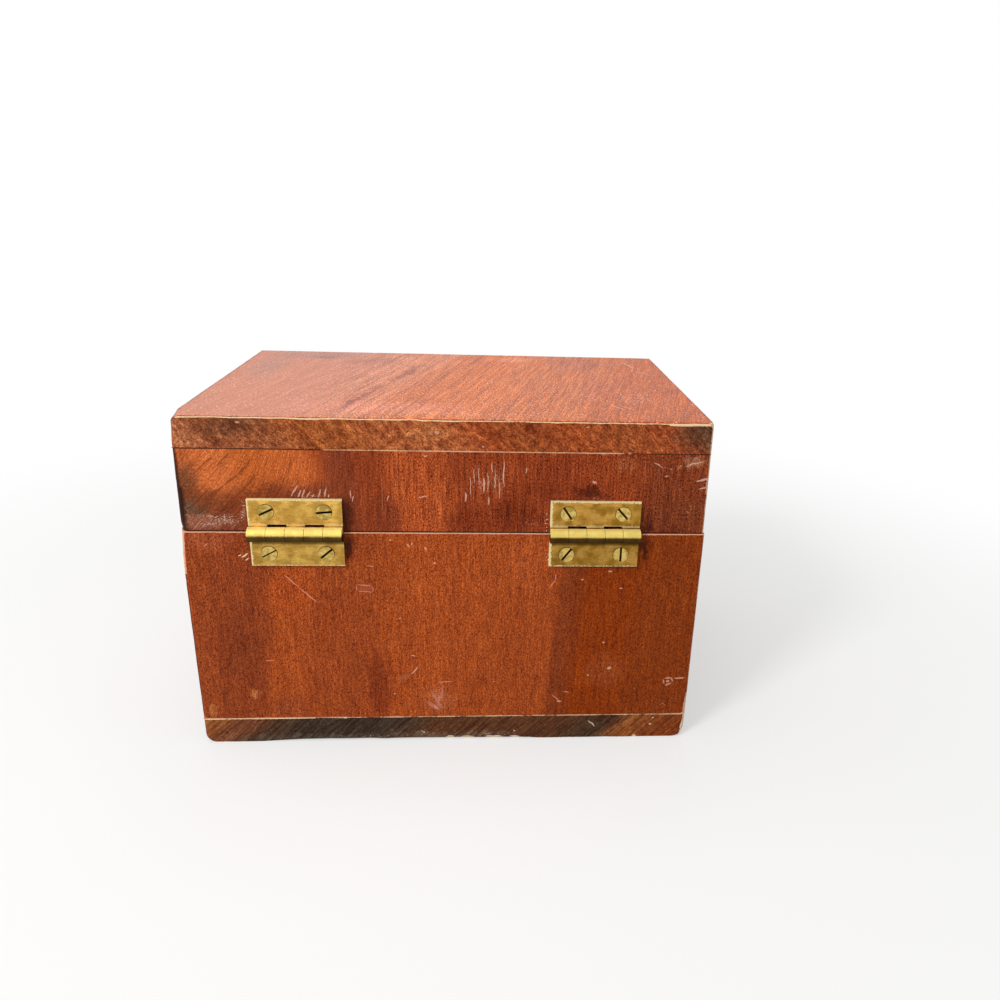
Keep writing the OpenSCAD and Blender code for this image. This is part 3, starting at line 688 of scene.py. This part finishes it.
wallCorner = {"x-y+": 1.1, "x+y+": 1.1, "x-y-": 1.1, "x+y-": 1.1}
backWall = {"sweep": "z", "rabbet": (rabbetX, lipY), "lines": {"x": (-rabbetX, rabbetX), "y": (lipY, -lipY)},
            "edges": wallCorner, "chips": 0.5}
sideWall = {"sweep": "z", "chips": 0.5, "edges": {}}
capBoard = {"sweep": "y", "chips": 0.6}
# the lid is worn narrower than the base; each pair holds a height and how much is gone there
shrunk = {"narrowed": [(1, (69, 0.78), (80, 0.9), (92, 1.05), (100, 1.15)), (-1, (69, 0.3), (100, 0.5))]}

lidBackSkins = {"y+": "lidBack", "x-": "side", "x+": "side", "y-": "insideBack", "z-": "rim", "z+": "rim"}
baseBackSkins = {**lidBackSkins, "y+": "baseBack"}
frontSkins = {**lidBackSkins, "y-": "front", "y+": "insideBack"}
sideSkins = {"x+": "side", "x-": "insideSide", "y-": "rim", "y+": "rim", "z-": "rim", "z+": "rim"}
otherSideSkins = {**sideSkins, "x-": "side", "x+": "insideSide"}

# edges are worn, and darkened by dirt and painted shade, by (edge, amount, width, span along it, offset),
# and knocked or softened by (place, size, depth)
boards = {
    "top_board": {
        **capBoard, **shrunk, "rub": 0.1,
        "edges": {"x-z+": 0.8, "x+z+": 0.9, "y+z+": 0.7, "y-z+": 0.7, **wallCorner},
        "skins": {"z+": "top", "x-": "boardSide", "x+": "boardSide", "y+": "topEnd", "y-": "topEnd",
                  "z-": "insideBoard"},
        "worn": [("y+z+", 1.2, 0.25, ("x", 5, 74), 0.52), ("y+z+", 0.9, 0.25, ("x", -62, 6), 0.52),
                 ("y+z+", 1.3, 0.5, ("x", -74, -60), 0.6), ("x-y+", 0.8, 0.9),
                 ("y+z-", 0.95, 0.24, ("x", -48, 33))],
        "grimeAndShade": [("y-z+", 0.8, 1.2), ("x+z+", 0.6, 1.6), ("x-z+", 0.5, 1.2),
                  ("y+z-", 0.8, 0.26, ("x", 33, 74)), ("y+z-", 0.7, 0.24, ("x", -74, -48))],
        "softened": [((73, backY, topZ - 2), (3, 3, 5.4), 1.1), ((73, backY, topZ), (3, 7, 2.6), 1.9)],
        "knocks": [((-73, backY, topZ - 0.4), (1.6, 1.6, 1.6), 0.8),
                   ((31, backY, topZ), (1.2, 1.0, 0.8), 0.25)]},
    "lid_back": {
        **backWall, **shrunk, "skins": lidBackSkins,
        "worn": [("y+z+", 0.9, 0.2, ("x", -48, 33)), ("x-y+", 0.7, 0.9), ("x-y+", 1.2, 1.2, ("z", 81, 86))],
        # dark joint lines under the top board, painted shade along the lid's lower edge over the split, and
        # a darker strip down the +X upright corner
        "grimeAndShade": [("y+z+", 0.8, 0.24, ("x", 33, 74)), ("y+z+", 0.7, 0.22, ("x", -74, -48)),
                  ("y+z-", 1.0, 0.35), ("x+y+", 1.1, 2.4, ("z", 68, 82)), ("x+y+", 1.0, 1.6, ("z", 80, 93))],
        "softened": [((73, backY, 69), (5, 2.5, 2.5), 1.0)]},
    "base_back": {
        **backWall, "skins": baseBackSkins, "edges": {**wallCorner, "x-y+": 0.7},
        "narrowed": [(1, (56, 0), (61, 0.1), (65, 0.45), (69, 0.7))],
        "worn": [("y+z+", 1.05, 0.5), ("y+z-", 1.0, 0.42, ("x", 30, 74)),
                 ("y+z-", 0.62, 0.36, ("x", -74, 36)), ("x+y+", 1.2, 1.3, ("z", 56, 70)),
                 ("x-y+", 0.6, 0.5), ("x-y+", 1.0, 0.9, ("z", 8, 16))],
        # a painted shade line down the +X upright corner
        "grimeAndShade": [("x+y+", 0.62, 0.7, ("z", 10, 55))],
        "knocks": [((-72.6, backY, 11), (1.4, 1.4, 4.5), 0.7), ((72.6, backY, 60.8), (1.2, 1.2, 0.9), 0.7)]},
    "bottom_board": {
        **capBoard, "edges": {"x-z-": 3.9, "x+z-": 2.9, "y+z-": 0.5, "y-z-": 0.5, **wallCorner},
        "skins": {"z-": "bottom", "x-": "bottom", "x+": "bottom", "y+": "bottomEnd", "y-": "bottomEnd",
                  "z+": "insideBoard"},
        "worn": [("y+z+", 0.65, 0.32), ("y+z+", 1.0, 0.42, ("x", 40, 74)), ("y+z-", 0.3, 0.7),
                 ("x-y+", 0.9, 1.1)],
        "softened": [((34, backY, 0), (22, 4, 4), 1.3), ((6, backY, 0), (22, 4, 4), 1.2),
                     ((-14, backY, 0), (14, 4, 4), 0.9)],
        "knocks": [((-0.2, backY, 0.9), (1.4, 1.2, 1.0), 1.0), ((-5.6, backY, 0.8), (2.4, 1.2, 0.9), 1.0),
                   ((-13.6, backY, 0.9), (3.0, 1.2, 1.0), 1.1), ((-20, backY, 0.9), (1.6, 1.2, 1.0), 0.9),
                   ((-57.5, backY, 0.6), (1.0, 1.2, 0.7), 0.7), ((7.8, backY, 1.4), (1.8, 1.2, 1.4), 0.35),
                   ((-72.4, backY, 4), (1.4, 1.4, 3), 0.8)]},
    "base_front": {
        **backWall, "skins": frontSkins,
        "worn": [("y-z+", 0.9, 0.42), ("y-z-", 0.6, 0.35), ("x+y-", 0.65, 0.8), ("x-y-", 0.65, 0.8)]},
    "lid_front": {
        # painted shade along the lid's lower edge over the split
        **backWall, **shrunk, "skins": frontSkins, "grimeAndShade": [("y-z-", 0.8, 0.35)],
        "worn": [("y-z-", 0.6, 0.3), ("y-z+", 0.6, 0.22), ("x+y-", 0.65, 0.8)]},
}
sides = (("right", "x+", sideSkins), ("left", "x-", otherSideSkins))
for side, sign, skins in sides:
    boards["base_" + side] = {
        **sideWall, "skins": skins, "worn": [(sign + "z+", 0.8, 0.4), (sign + "z-", 0.6, 0.35)],
        "grimeAndShade": [(sign + "y+", 0.6, 0.24), (sign + "y-", 0.6, 0.24)]}
for side, sign, skins in sides:
    boards["lid_" + side] = {
        **sideWall, **shrunk, "skins": skins, "worn": [(sign + "z+", 0.5, 0.3)],
        # painted shade along the lid's lower edge over the split, and dark joints at the upright corners
        "grimeAndShade": [(sign + "z-", 0.8, 0.35), (sign + "y+", 0.6, 0.24), (sign + "y-", 0.6, 0.24)]}

bodyOf = {node: body for body, members in frame["record"]["behaviour"]["bodies"].items() for node in members}


def handOver(piece, node):
    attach(piece, bodyOf[node])
    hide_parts(node)


for node, look in boards.items():
    handOver(shapeBoard(node, look), node)
print("boards:", len(boards))


# Brass. Rolled sheet with faint lines along it, tarnished unevenly, with small dents and dark spots.
# Painted shade sits under the barrel, in the seams, in the countersunk holes and in the slots; the leaf's
# rim carries dried polish and painted highlight, and the barrel's crown a painted highlight.
leaf = {"Length": 25.4, "Knuckles": 5, "Gap": 0.1, "Thickness": 1.0, "Back": -2.15, "Notch": 2.5,
        "Reach": 9.8, "Hole Spacing": 15.5, "Hole Row": 6.15, "Hole Top": 2.3, "Hole Bottom": 1.14,
        "Hole Depth": 1.36}
# the darkest tone here is painted shade; the two palest are dried polish with painted highlight for the rim
# and a painted highlight for the barrel's crown
rolled = {"spot": "#6f5220", "cloud": 3.0, "grain": (0.6, 3.2, 3.2), "contrast": 0.16, "grit": 0.4,
          "dents": 1.6, "roughness": 0.4, "relief": 0.03, "grime": "#2f1f09", "polishAndHighlight": "#f3e2a8",
          "crownHighlightTone": "#f5e17a"}
tones = {"left": {"bright": "#b98d42", "tarnished": "#906820", "wide": 0.45},
         "right": {"bright": "#dab058", "tarnished": "#b48a3e", "wide": 0.2}}
# over which values of the noises the finish changes, and how much of each layer shows
patina = {"cloud": (0.35, 0.65), "lines": (0.3, 0.7), "grit": (0.6, 0.74, 0, 0.6),
          "duller": (-9, 9, 0.86, 1.12), "headGrime": (0.08, -0.06, 0, 1.2),
          "grime": 1.1, "grimeMost": 0.82, "cornerGrime": 0.8,
          "lineRoughness": 0.14, "gritRelief": 0.3, "gritEdge": 0.7, "ragged": 1.1, "wander": 0.5,
          "seamPolish": 0.6, "crownHighlight": 0.6, "rimPolishAndHighlight": 0.8, "polishAndHighlightRoughness": 0.8}


def brassMaterial(name, look):
    material, tree = emptyMaterial(name)
    inMm = add(tree, "VectorMath SCALE", add(tree, "TexCoord").outputs["Object"], {"Scale": 1 / mm})
    x, y, z = add(tree, "SeparateXYZ", inMm).outputs
    cloud, grit, dents = [
        add(tree, "TexNoise", inMm, {"Scale": 1 / look[size], "Detail": detail})
        for size, detail in (("cloud", 3.0), ("grit", 2.0), ("dents", 1.0))]
    stretched = add(tree, "Mapping", inMm, {"Scale": look["grain"]})
    lines = add(tree, "TexNoise", stretched, {"Scale": 1.0, "Detail": 3.0})
    tarnish = add(tree, "MapRange", cloud, *patina["cloud"], interpolation_type="SMOOTHSTEP")
    colour = add(tree, "Mix", tarnish, {6: rgb(look["bright"]), 7: rgb(look["tarnished"])}, data_type="RGBA")
    shade = add(tree, "MapRange", lines, *patina["lines"], 1 - look["contrast"], 1 + look["contrast"],
                clamp=False)
    colour = add(tree, "VectorMath SCALE", colour.outputs[2], {"Scale": shade})
    spotted = add(tree, "MapRange", grit, *patina["grit"], interpolation_type="SMOOTHSTEP")
    colour = add(tree, "Mix", spotted, {6: colour, 7: rgb(look["spot"])}, data_type="RGBA").outputs[2]
    if "face" in look:
        # a screw is painted dark in its slot, below the face of its head: painted shade in the recess
        start, full, *amounts = patina["headGrime"]
        grime = add(tree, "MapRange", y, look["face"] + start, look["face"] + full, *amounts,
                    interpolation_type="SMOOTHSTEP")
    else:
        # where each zone of a leaf starts and where it is full, in millimetres from the pin's middle
        pinY, pinZ = look["pin"]
        right, reach = look["rim"]
        front = pinY + leaf["Back"] + leaf["Thickness"]
        below = add(tree, "Math SUBTRACT", z, pinZ)
        away = add(tree, "Math ABSOLUTE", below)
        gritty = add(tree, "Math MULTIPLY_ADD", grit, patina["gritEdge"], below)
        ragged = add(tree, "Math MULTIPLY_ADD", cloud, patina["wander"], -patina["wander"])
        ragged = add(tree, "Math MULTIPLY_ADD", grit, patina["ragged"], ragged)
        up = add(tree, "Math ADD", below, ragged)
        down = add(tree, "Math SUBTRACT", below, ragged)
        across = add(tree, "Math ADD", x, ragged)
        rimStart = right - look["wide"]
        zones = {
            "barrel": (y, front + 0.02, pinY - 0.9), "lower": (gritty, 1.0, 0.2), "crown": (below, 0.2, 0.6),
            "cornerFoot": (below, -3.7, -2.9), "cornerTop": (below, 0, -1), "plate": (away, 1.9, 2.2),
            "sunk": (y, front - 0.1, front - 0.25), "inside": (away, reach - 0.2, reach - 0.5),
            "upper": (up, reach - 0.12, reach + 0.1), "foot": (down, -reach - 0.04, -reach - 0.3),
            "lit": (across, rimStart, rimStart + 0.25),
            "seamFoot": (below, 2.0, 2.2), "seamTop": (up, 3.3, 2.7)}
        zone = {part: add(tree, "MapRange", *ends, interpolation_type="SMOOTHSTEP")
                for part, ends in zones.items()}

        # painted shade on the lower half of the barrel, on the leaf just under it and in the countersunk
        # holes
        corner = add(tree, "Math MULTIPLY", zone["cornerFoot"], zone["cornerTop"])
        corner = add(tree, "Math MULTIPLY", corner, patina["cornerGrime"])
        grime = add(tree, "Math MULTIPLY", zone["barrel"], zone["lower"])
        grime = add(tree, "Math MAXIMUM", grime, corner)
        grime = add(tree, "Math MAXIMUM", grime, add(tree, "Math MULTIPLY", zone["sunk"], zone["inside"]))
        grime = add(tree, "Math MULTIPLY", grime, patina["grime"])
        # darker towards the bottom of the hinge and lighter towards the top
        duller = add(tree, "MapRange", below, *patina["duller"])
        colour = add(tree, "VectorMath SCALE", colour, {"Scale": duller})
    shown = add(tree, "Math MULTIPLY", grime, patina["grimeMost"])
    colour = add(tree, "Mix", shown, {6: colour, 7: rgb(look["grime"])}, data_type="RGBA").outputs[2]
    rough = add(tree, "MapRange", lines, *patina["lines"], look["roughness"],
                look["roughness"] + patina["lineRoughness"])
    height = add(tree, "Math MULTIPLY_ADD", grit, patina["gritRelief"], dents)
    bump = add(tree, "Bump", {"Height": height, "Distance": look["relief"] * mm})
    metal = add(tree, "BsdfPrincipled", {
        "Base Color": colour, "Metallic": 1.0, "Roughness": rough, "Normal": bump})
    surface = metal
    if "rim" in look:
        # dried polish and painted highlight on the upper rim and the side towards the window, dried polish
        # on a thin lower rim and on the corner over the barrel, and a painted highlight on the barrel's
        # crown
        seam = add(tree, "Math MULTIPLY", zone["seamFoot"], zone["seamTop"])
        seam = add(tree, "Math MULTIPLY", seam, patina["seamPolish"])
        rim = add(tree, "Math MAXIMUM", add(tree, "Math MAXIMUM", zone["upper"], zone["lit"]),
                  add(tree, "Math MAXIMUM", zone["foot"], seam))
        rim = add(tree, "Math MULTIPLY", add(tree, "Math MULTIPLY", rim, zone["plate"]), patina["rimPolishAndHighlight"])
        crown = add(tree, "Math MULTIPLY", zone["barrel"], patina["crownHighlight"])
        share = add(tree, "Math MULTIPLY_ADD", crown, zone["crown"], rim)
        pale = add(tree, "Mix", zone["plate"], {6: rgb(look["crownHighlightTone"]), 7: rgb(look["polishAndHighlight"])},
                   data_type="RGBA")
        polishAndHighlight = add(tree, "BsdfPrincipled", {
            "Base Color": pale.outputs[2], "Roughness": patina["polishAndHighlightRoughness"]})
        surface = add(tree, "MixShader", share, metal, polishAndHighlight)
    add(tree, "OutputMaterial", surface)
    return material


sheetBrass = {}
for side, pair in tones.items():
    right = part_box(side + "_hinge_lid_leaf")[1].x / mm
    pinLow, pinHigh = [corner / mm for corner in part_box(side + "_hinge_pin")]
    pin = (pinLow + pinHigh) / 2
    sheetBrass[side] = brassMaterial("tarnished rolled brass, " + side + " hinge", {
        **rolled, **pair, "pin": (pin.y, pin.z), "rim": (right, leaf["Reach"])})
screwBrass = brassMaterial("turned brass, screws", {
    **rolled, "bright": "#d8bb6c", "tarnished": "#a88a42", "cloud": 1.6, "grain": (1.5, 1.5, 1.5),
    "dents": 0.9, "roughness": 0.3, "face": backY + leaf["Thickness"]})


def inputsOf(tree, sizes):
    # named inputs for the sizes, and the geometry that comes in and goes out
    tree.interface.new_socket("Geometry", in_out="INPUT", socket_type="NodeSocketGeometry")
    tree.interface.new_socket("Geometry", in_out="OUTPUT", socket_type="NodeSocketGeometry")
    kinds = {int: "NodeSocketInt", float: "NodeSocketFloat"}
    for name, value in sizes.items():
        kind = kinds.get(type(value), "NodeSocketMaterial")
        tree.interface.new_socket(name, in_out="INPUT", socket_type=kind)
    return add(tree, "GroupInput").outputs


def painted(tree, geometry, size):
    # real geometry in the material that the tree is given
    real = add(tree, "RealizeInstances", geometry)
    add(tree, "GroupOutput", add(tree, "SetMaterial", {"Geometry": real, "Material": size["Material"]}))
    return tree


# the bevel that breaks every edge of a metal piece, and the angle past which its shading is sharp
metalEdge = {"segments": 2, "from": 40, "sharp": 20, "screw": 0.09, "leaf": 0.1}


def growPiece(name, mesh, tree, sizes, bevel):
    # runs the tree on a mesh with the given sizes and bevels the result, as one plain mesh
    maker = show(name, mesh)
    modifier = maker.modifiers.new("grow", "NODES")
    modifier.node_group = tree
    for item in tree.interface.items_tree:
        if item.in_out == "INPUT" and item.name in sizes:
            modifier[item.identifier] = sizes[item.name]
    edge = maker.modifiers.new("edge", "BEVEL")
    edge.width = bevel * mm
    edge.segments = metalEdge["segments"]
    edge.limit_method = "ANGLE"
    edge.angle_limit = math.radians(metalEdge["from"])
    edge.use_clamp_overlap = True
    evaluated = maker.evaluated_get(bpy.context.evaluated_depsgraph_get())
    grown = bpy.data.meshes.new_from_object(evaluated)
    maker.modifiers.clear()
    maker.data = grown
    grown.name = name
    grown.polygons.foreach_set("use_smooth", [True] * len(grown.polygons))
    grown.set_sharp_from_angle(angle=math.radians(metalEdge["sharp"]))
    return maker


# Slotted countersunk screws. The tree works in millimetres with the head's face at the origin and
# the point downwards, then turns the screw so that its head faces the back of the box.
screw = {"Head Radius": 2.18, "Head Depth": 1.26, "Proud": 0.24, "Shank Radius": 1.1, "Length": 7.9,
         "Tip": 2.4, "Smooth": 2.6, "Thread": 0.28, "Pitch": 0.8, "Slot Width": 0.64, "Slot Depth": 0.8}
# one slot is filled with dirt and polish, almost to the top
clogged = {"right_hinge_base_screw_outer": {"Slot Width": 0.4, "Slot Depth": 0.3}}
# how far each part runs up into the one above it, or starts below the head's face
overlap = {"crown": 0.02, "smooth": 0.6, "shank": 0.3}
# the thread runs down this share of the point and ends at this radius, and the point is this blunt
threadEnd = {"share": 0.8, "radius": 0.2, "point": 0.05}
facets = {"head": 48, "smooth": 32, "shank": 24, "thread": 18}


def screwTree():
    tree = bpy.data.node_groups.new("slotted screw", "GeometryNodeTree")
    size = inputsOf(tree, {**screw, "Turn": 0.0, "X": 0.0, "Y": 0.0, "Z": 0.0, "Material": screwBrass})
    core = add(tree, "Math SUBTRACT", size["Shank Radius"], size["Thread"])
    shankDepth = add(tree, "Math SUBTRACT", size["Length"], size["Tip"])
    head = add(tree, "MeshCone", {"Vertices": facets["head"], "Radius Top": size["Head Radius"],
                                  "Radius Bottom": size["Shank Radius"], "Depth": size["Head Depth"]})
    crown = add(tree, "MeshCylinder", {"Vertices": facets["head"], "Radius": size["Head Radius"],
                                       "Depth": add(tree, "Math ADD", size["Proud"], overlap["crown"])})
    smooth = add(tree, "MeshCylinder", {"Vertices": facets["smooth"], "Radius": size["Shank Radius"],
                                        "Depth": size["Smooth"]})
    shank = add(tree, "MeshCylinder", {"Vertices": facets["shank"], "Radius": core, "Depth": shankDepth})
    tip = add(tree, "MeshCone", {"Vertices": facets["shank"], "Radius Top": core,
                                 "Radius Bottom": threadEnd["point"], "Depth": size["Tip"]})
    # a cone stands on its base and a cylinder is centred, so each is moved by a share of a length
    parts = [(head, size["Head Depth"], -1, 0), (crown, size["Proud"], 0.5, -overlap["crown"] / 2),
             (smooth, size["Smooth"], -0.5, -overlap["smooth"]),
             (shank, shankDepth, -0.5, -overlap["shank"]), (tip, size["Length"], -1, 0)]
    solid = add(tree, "MeshBoolean UNION", solver="EXACT")
    for part, length, share, extra in parts:
        height = add(tree, "CombineXYZ", {2: add(tree, "Math MULTIPLY_ADD", length, share, extra)})
        moved = add(tree, "Transform", {"Geometry": part, "Translation": height})
        tree.links.new(moved.outputs[0], solid.inputs["Mesh 2"])
    # the slot's box runs out past the head at both ends and above it
    slotSize = add(tree, "CombineXYZ", add(tree, "Math MULTIPLY", size["Head Radius"], 3.0),
                   size["Slot Width"], add(tree, "Math MULTIPLY", size["Slot Depth"], 2.0))
    slotBox = add(tree, "Transform", {"Geometry": add(tree, "MeshCube", {"Size": slotSize}),
                                      "Translation": add(tree, "CombineXYZ", {2: size["Proud"]})})
    slotted = add(tree, "MeshBoolean DIFFERENCE", {"Mesh 1": solid, "Mesh 2": slotBox}, solver="EXACT")

    # the thread is one ridge wound down the shank and on down the point
    threadTop = add(tree, "Math MULTIPLY_ADD", size["Smooth"], -1, -overlap["smooth"])
    threadDepth = add(tree, "Math SUBTRACT", shankDepth, size["Smooth"])
    threadDepth = add(tree, "Math SUBTRACT", threadDepth, overlap["smooth"])
    ridge = add(tree, "CurvePrimitiveCircle", {"Resolution": 4, "Radius": size["Thread"]})
    turns = [(threadDepth, core, threadTop),
             (add(tree, "Math MULTIPLY", size["Tip"], threadEnd["share"]), threadEnd["radius"],
              add(tree, "Math SUBTRACT", threadTop, threadDepth))]
    joined = add(tree, "JoinGeometry", slotted)
    for depth, endRadius, top in turns:
        spiral = add(tree, "CurveSpiral", {
            "Resolution": facets["thread"], "Rotations": add(tree, "Math DIVIDE", depth, size["Pitch"]),
            "Start Radius": core, "End Radius": endRadius, "Height": add(tree, "Math MULTIPLY", depth, -1)})
        wound = add(tree, "CurveToMesh", {"Curve": spiral, "Profile Curve": ridge, "Fill Caps": True})
        moved = add(tree, "Transform", {"Geometry": wound, "Translation": add(tree, "CombineXYZ", {2: top})})
        tree.links.new(moved.outputs[0], joined.inputs[0])
    angle = add(tree, "CombineXYZ", {2: size["Turn"]})
    turned = add(tree, "Transform", {"Geometry": joined, "Rotation": angle})
    place = add(tree, "CombineXYZ", size["X"], size["Y"], size["Z"])
    driven = add(tree, "Transform", {"Geometry": turned, "Translation": place,
                                     "Rotation": (-math.pi / 2, 0, 0), "Scale": (mm, mm, mm)})
    return painted(tree, driven, size)


screws = screwTree()
# how far each slot is turned from level, as seen from behind
slotAngles = {
    "left_hinge_base_screw_outer": 90, "left_hinge_base_screw_inner": 53,
    "left_hinge_lid_screw_outer": -48, "left_hinge_lid_screw_inner": -56,
    "right_hinge_base_screw_outer": 28, "right_hinge_base_screw_inner": 40,
    "right_hinge_lid_screw_outer": 26, "right_hinge_lid_screw_inner": 5}
for node, angle in slotAngles.items():
    low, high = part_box(node)
    sizes = {**screw, **clogged.get(node, {}), "Turn": math.radians(angle), "X": (low.x + high.x) / 2,
             "Y": high.y - screw["Proud"] * mm, "Z": (low.z + high.z) / 2, "Material": screwBrass}
    piece = growPiece(node + "_brass", bpy.data.meshes.new(node), screws, sizes, metalEdge["screw"])
    handOver(piece, node)
print("screws:", len(slotAngles))


# Hinge leaves. A leaf's mesh starts as the section of the sheet rolled into a knuckle, round the
# pin's middle; the tree draws it out, repeats it along the pin and adds the plate with its holes.
knuckle = {"radius": 2.05, "seam": 0.12, "points": 40, "tongue": 3.2, "merge": 0.001, "holeOver": 0.01}
# for each body its first knuckle, the radius of its bores and the way that its plate points
leafOf = {"lid": (0, 1.01, 1.0), "base": (1, 1.05, -1.0)}


def knuckleSection(boreRadius):
    # round the outside from the leaf's back, in through the seam, round the bore and out again
    outer, seamRight = knuckle["radius"], -boreRadius + knuckle["seam"]
    back, front, tall = leaf["Back"], leaf["Back"] + leaf["Thickness"], knuckle["tongue"]
    outside = [math.pi + (math.acos(seamRight / outer) - math.pi + 2 * math.pi) * i / knuckle["points"]
               for i in range(knuckle["points"] + 1)]
    boreStart = math.acos(seamRight / boreRadius)
    bore = [boreStart - (boreStart + math.pi) * i / knuckle["points"] for i in range(knuckle["points"] + 1)]
    section = [(back, tall), (back, 0.0)]
    section += [(outer * math.cos(a), outer * math.sin(a)) for a in outside]
    section += [(boreRadius * math.cos(a), boreRadius * math.sin(a)) for a in bore]
    section += [(-boreRadius, math.sqrt(outer ** 2 - boreRadius ** 2)),
                (front, math.sqrt(outer ** 2 - front ** 2)), (front, tall)]
    mesh = bpy.data.meshes.new("section")
    mesh.from_pydata([(0, y, z) for y, z in section], [], [list(range(len(section)))])
    return mesh


def leafTree():
    tree = bpy.data.node_groups.new("rolled hinge leaf", "GeometryNodeTree")
    size = inputsOf(tree, {**leaf, "First": 0, "X": 0.0, "Y": 0.0, "Z": 0.0, "Side": 1.0,
                           "Material": sheetBrass["left"]})

    # one knuckle: the section drawn out along the pin and closed at both ends
    pitch = add(tree, "Math DIVIDE", size["Length"], size["Knuckles"])
    width = add(tree, "Math SUBTRACT", pitch, size["Gap"])
    drawn = add(tree, "ExtrudeMesh", {"Mesh": size["Geometry"], "Offset": (1, 0, 0), "Offset Scale": width,
                                      "Individual": False}, mode="FACES")
    ends = add(tree, "JoinGeometry", drawn)
    tree.links.new(add(tree, "FlipFaces", {"Mesh": size["Geometry"]}).outputs[0], ends.inputs[0])
    closed = add(tree, "MergeByDistance", {"Geometry": ends, "Distance": knuckle["merge"]})

    # every second knuckle, from the first that this leaf carries
    startX = add(tree, "Math MULTIPLY", size["Length"], -0.5)
    startX = add(tree, "Math MULTIPLY_ADD", size["First"], pitch, startX)
    startX = add(tree, "Math MULTIPLY_ADD", size["Gap"], 0.5, startX)
    count = add(tree, "Math MULTIPLY", add(tree, "Math SUBTRACT", size["Knuckles"], size["First"]), 0.5)
    row = add(tree, "MeshLine", {
        "Count": add(tree, "FloatToInt", count, rounding_mode="CEILING"),
        "Start Location": add(tree, "CombineXYZ", startX),
        "Offset": add(tree, "CombineXYZ", add(tree, "Math MULTIPLY", pitch, 2.0))})
    knuckles = add(tree, "InstanceOnPoints", {"Points": row, "Instance": closed})
    knuckles = add(tree, "RealizeInstances", knuckles)

    # the plate above them
    tall = add(tree, "Math SUBTRACT", size["Reach"], size["Notch"])
    plateSize = add(tree, "CombineXYZ", size["Length"], size["Thickness"], tall)
    middle = add(tree, "CombineXYZ", 0, add(tree, "Math MULTIPLY_ADD", size["Thickness"], 0.5, size["Back"]),
                 add(tree, "Math MULTIPLY_ADD", tall, 0.5, size["Notch"]))
    plate = add(tree, "MeshCube", {"Size": plateSize})
    plate = add(tree, "Transform", {"Geometry": plate, "Translation": middle})
    whole = add(tree, "MeshBoolean UNION", {"Mesh 2": plate}, solver="EXACT")
    tree.links.new(knuckles.outputs[0], whole.inputs["Mesh 2"])

    # a countersunk hole at each screw
    sink = add(tree, "MeshCone", {"Vertices": facets["head"], "Radius Top": size["Hole Top"],
                                  "Radius Bottom": size["Hole Bottom"], "Depth": size["Hole Depth"]})
    sink = add(tree, "Transform", {"Geometry": sink, "Rotation": (-math.pi / 2, 0, 0)})
    holeFront = add(tree, "Math SUBTRACT", add(tree, "Math ADD", size["Back"], size["Thickness"]),
                    add(tree, "Math SUBTRACT", size["Hole Depth"], knuckle["holeOver"]))
    firstHole = add(tree, "Math MULTIPLY", size["Hole Spacing"], -0.5)
    holes = add(tree, "MeshLine", {
        "Count": 2, "Start Location": add(tree, "CombineXYZ", firstHole, holeFront, size["Hole Row"]),
        "Offset": add(tree, "CombineXYZ", size["Hole Spacing"])})
    holes = add(tree, "RealizeInstances", add(tree, "InstanceOnPoints", {"Points": holes, "Instance": sink}))
    drilled = add(tree, "MeshBoolean DIFFERENCE", {"Mesh 1": whole, "Mesh 2": holes}, solver="EXACT")

    # the base's leaf hangs down: it is mirrored in the pin's height and faces the same way
    place = add(tree, "CombineXYZ", size["X"], size["Y"], size["Z"])
    stretch = add(tree, "CombineXYZ", mm, mm, add(tree, "Math MULTIPLY", size["Side"], mm))
    hung = add(tree, "Transform", {"Geometry": drilled, "Translation": place, "Scale": stretch})
    return painted(tree, hung, size)


def outwards(mesh):
    # a mirrored shape has its faces turned back outwards
    shell = bmesh.new()
    shell.from_mesh(mesh)
    bmesh.ops.recalc_face_normals(shell, faces=shell.faces)
    shell.to_mesh(mesh)
    shell.free()


leaves = leafTree()
for side, brass in sheetBrass.items():
    pinLow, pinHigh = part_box(side + "_hinge_pin")
    pin = (pinLow + pinHigh) / 2
    for body, (first, boreRadius, way) in leafOf.items():
        node = f"{side}_hinge_{body}_leaf"
        sizes = {**leaf, "First": first, "Side": way, "X": pin.x, "Y": pin.y, "Z": pin.z, "Material": brass}
        piece = growPiece(node + "_brass", knuckleSection(boreRadius), leaves, sizes, metalEdge["leaf"])
        outwards(piece.data)
        handOver(piece, node)
    frame["nodes"][side + "_hinge_pin"].data.materials.clear()
    frame["nodes"][side + "_hinge_pin"].data.materials.append(brass)
print("hinges:", len(sheetBrass))
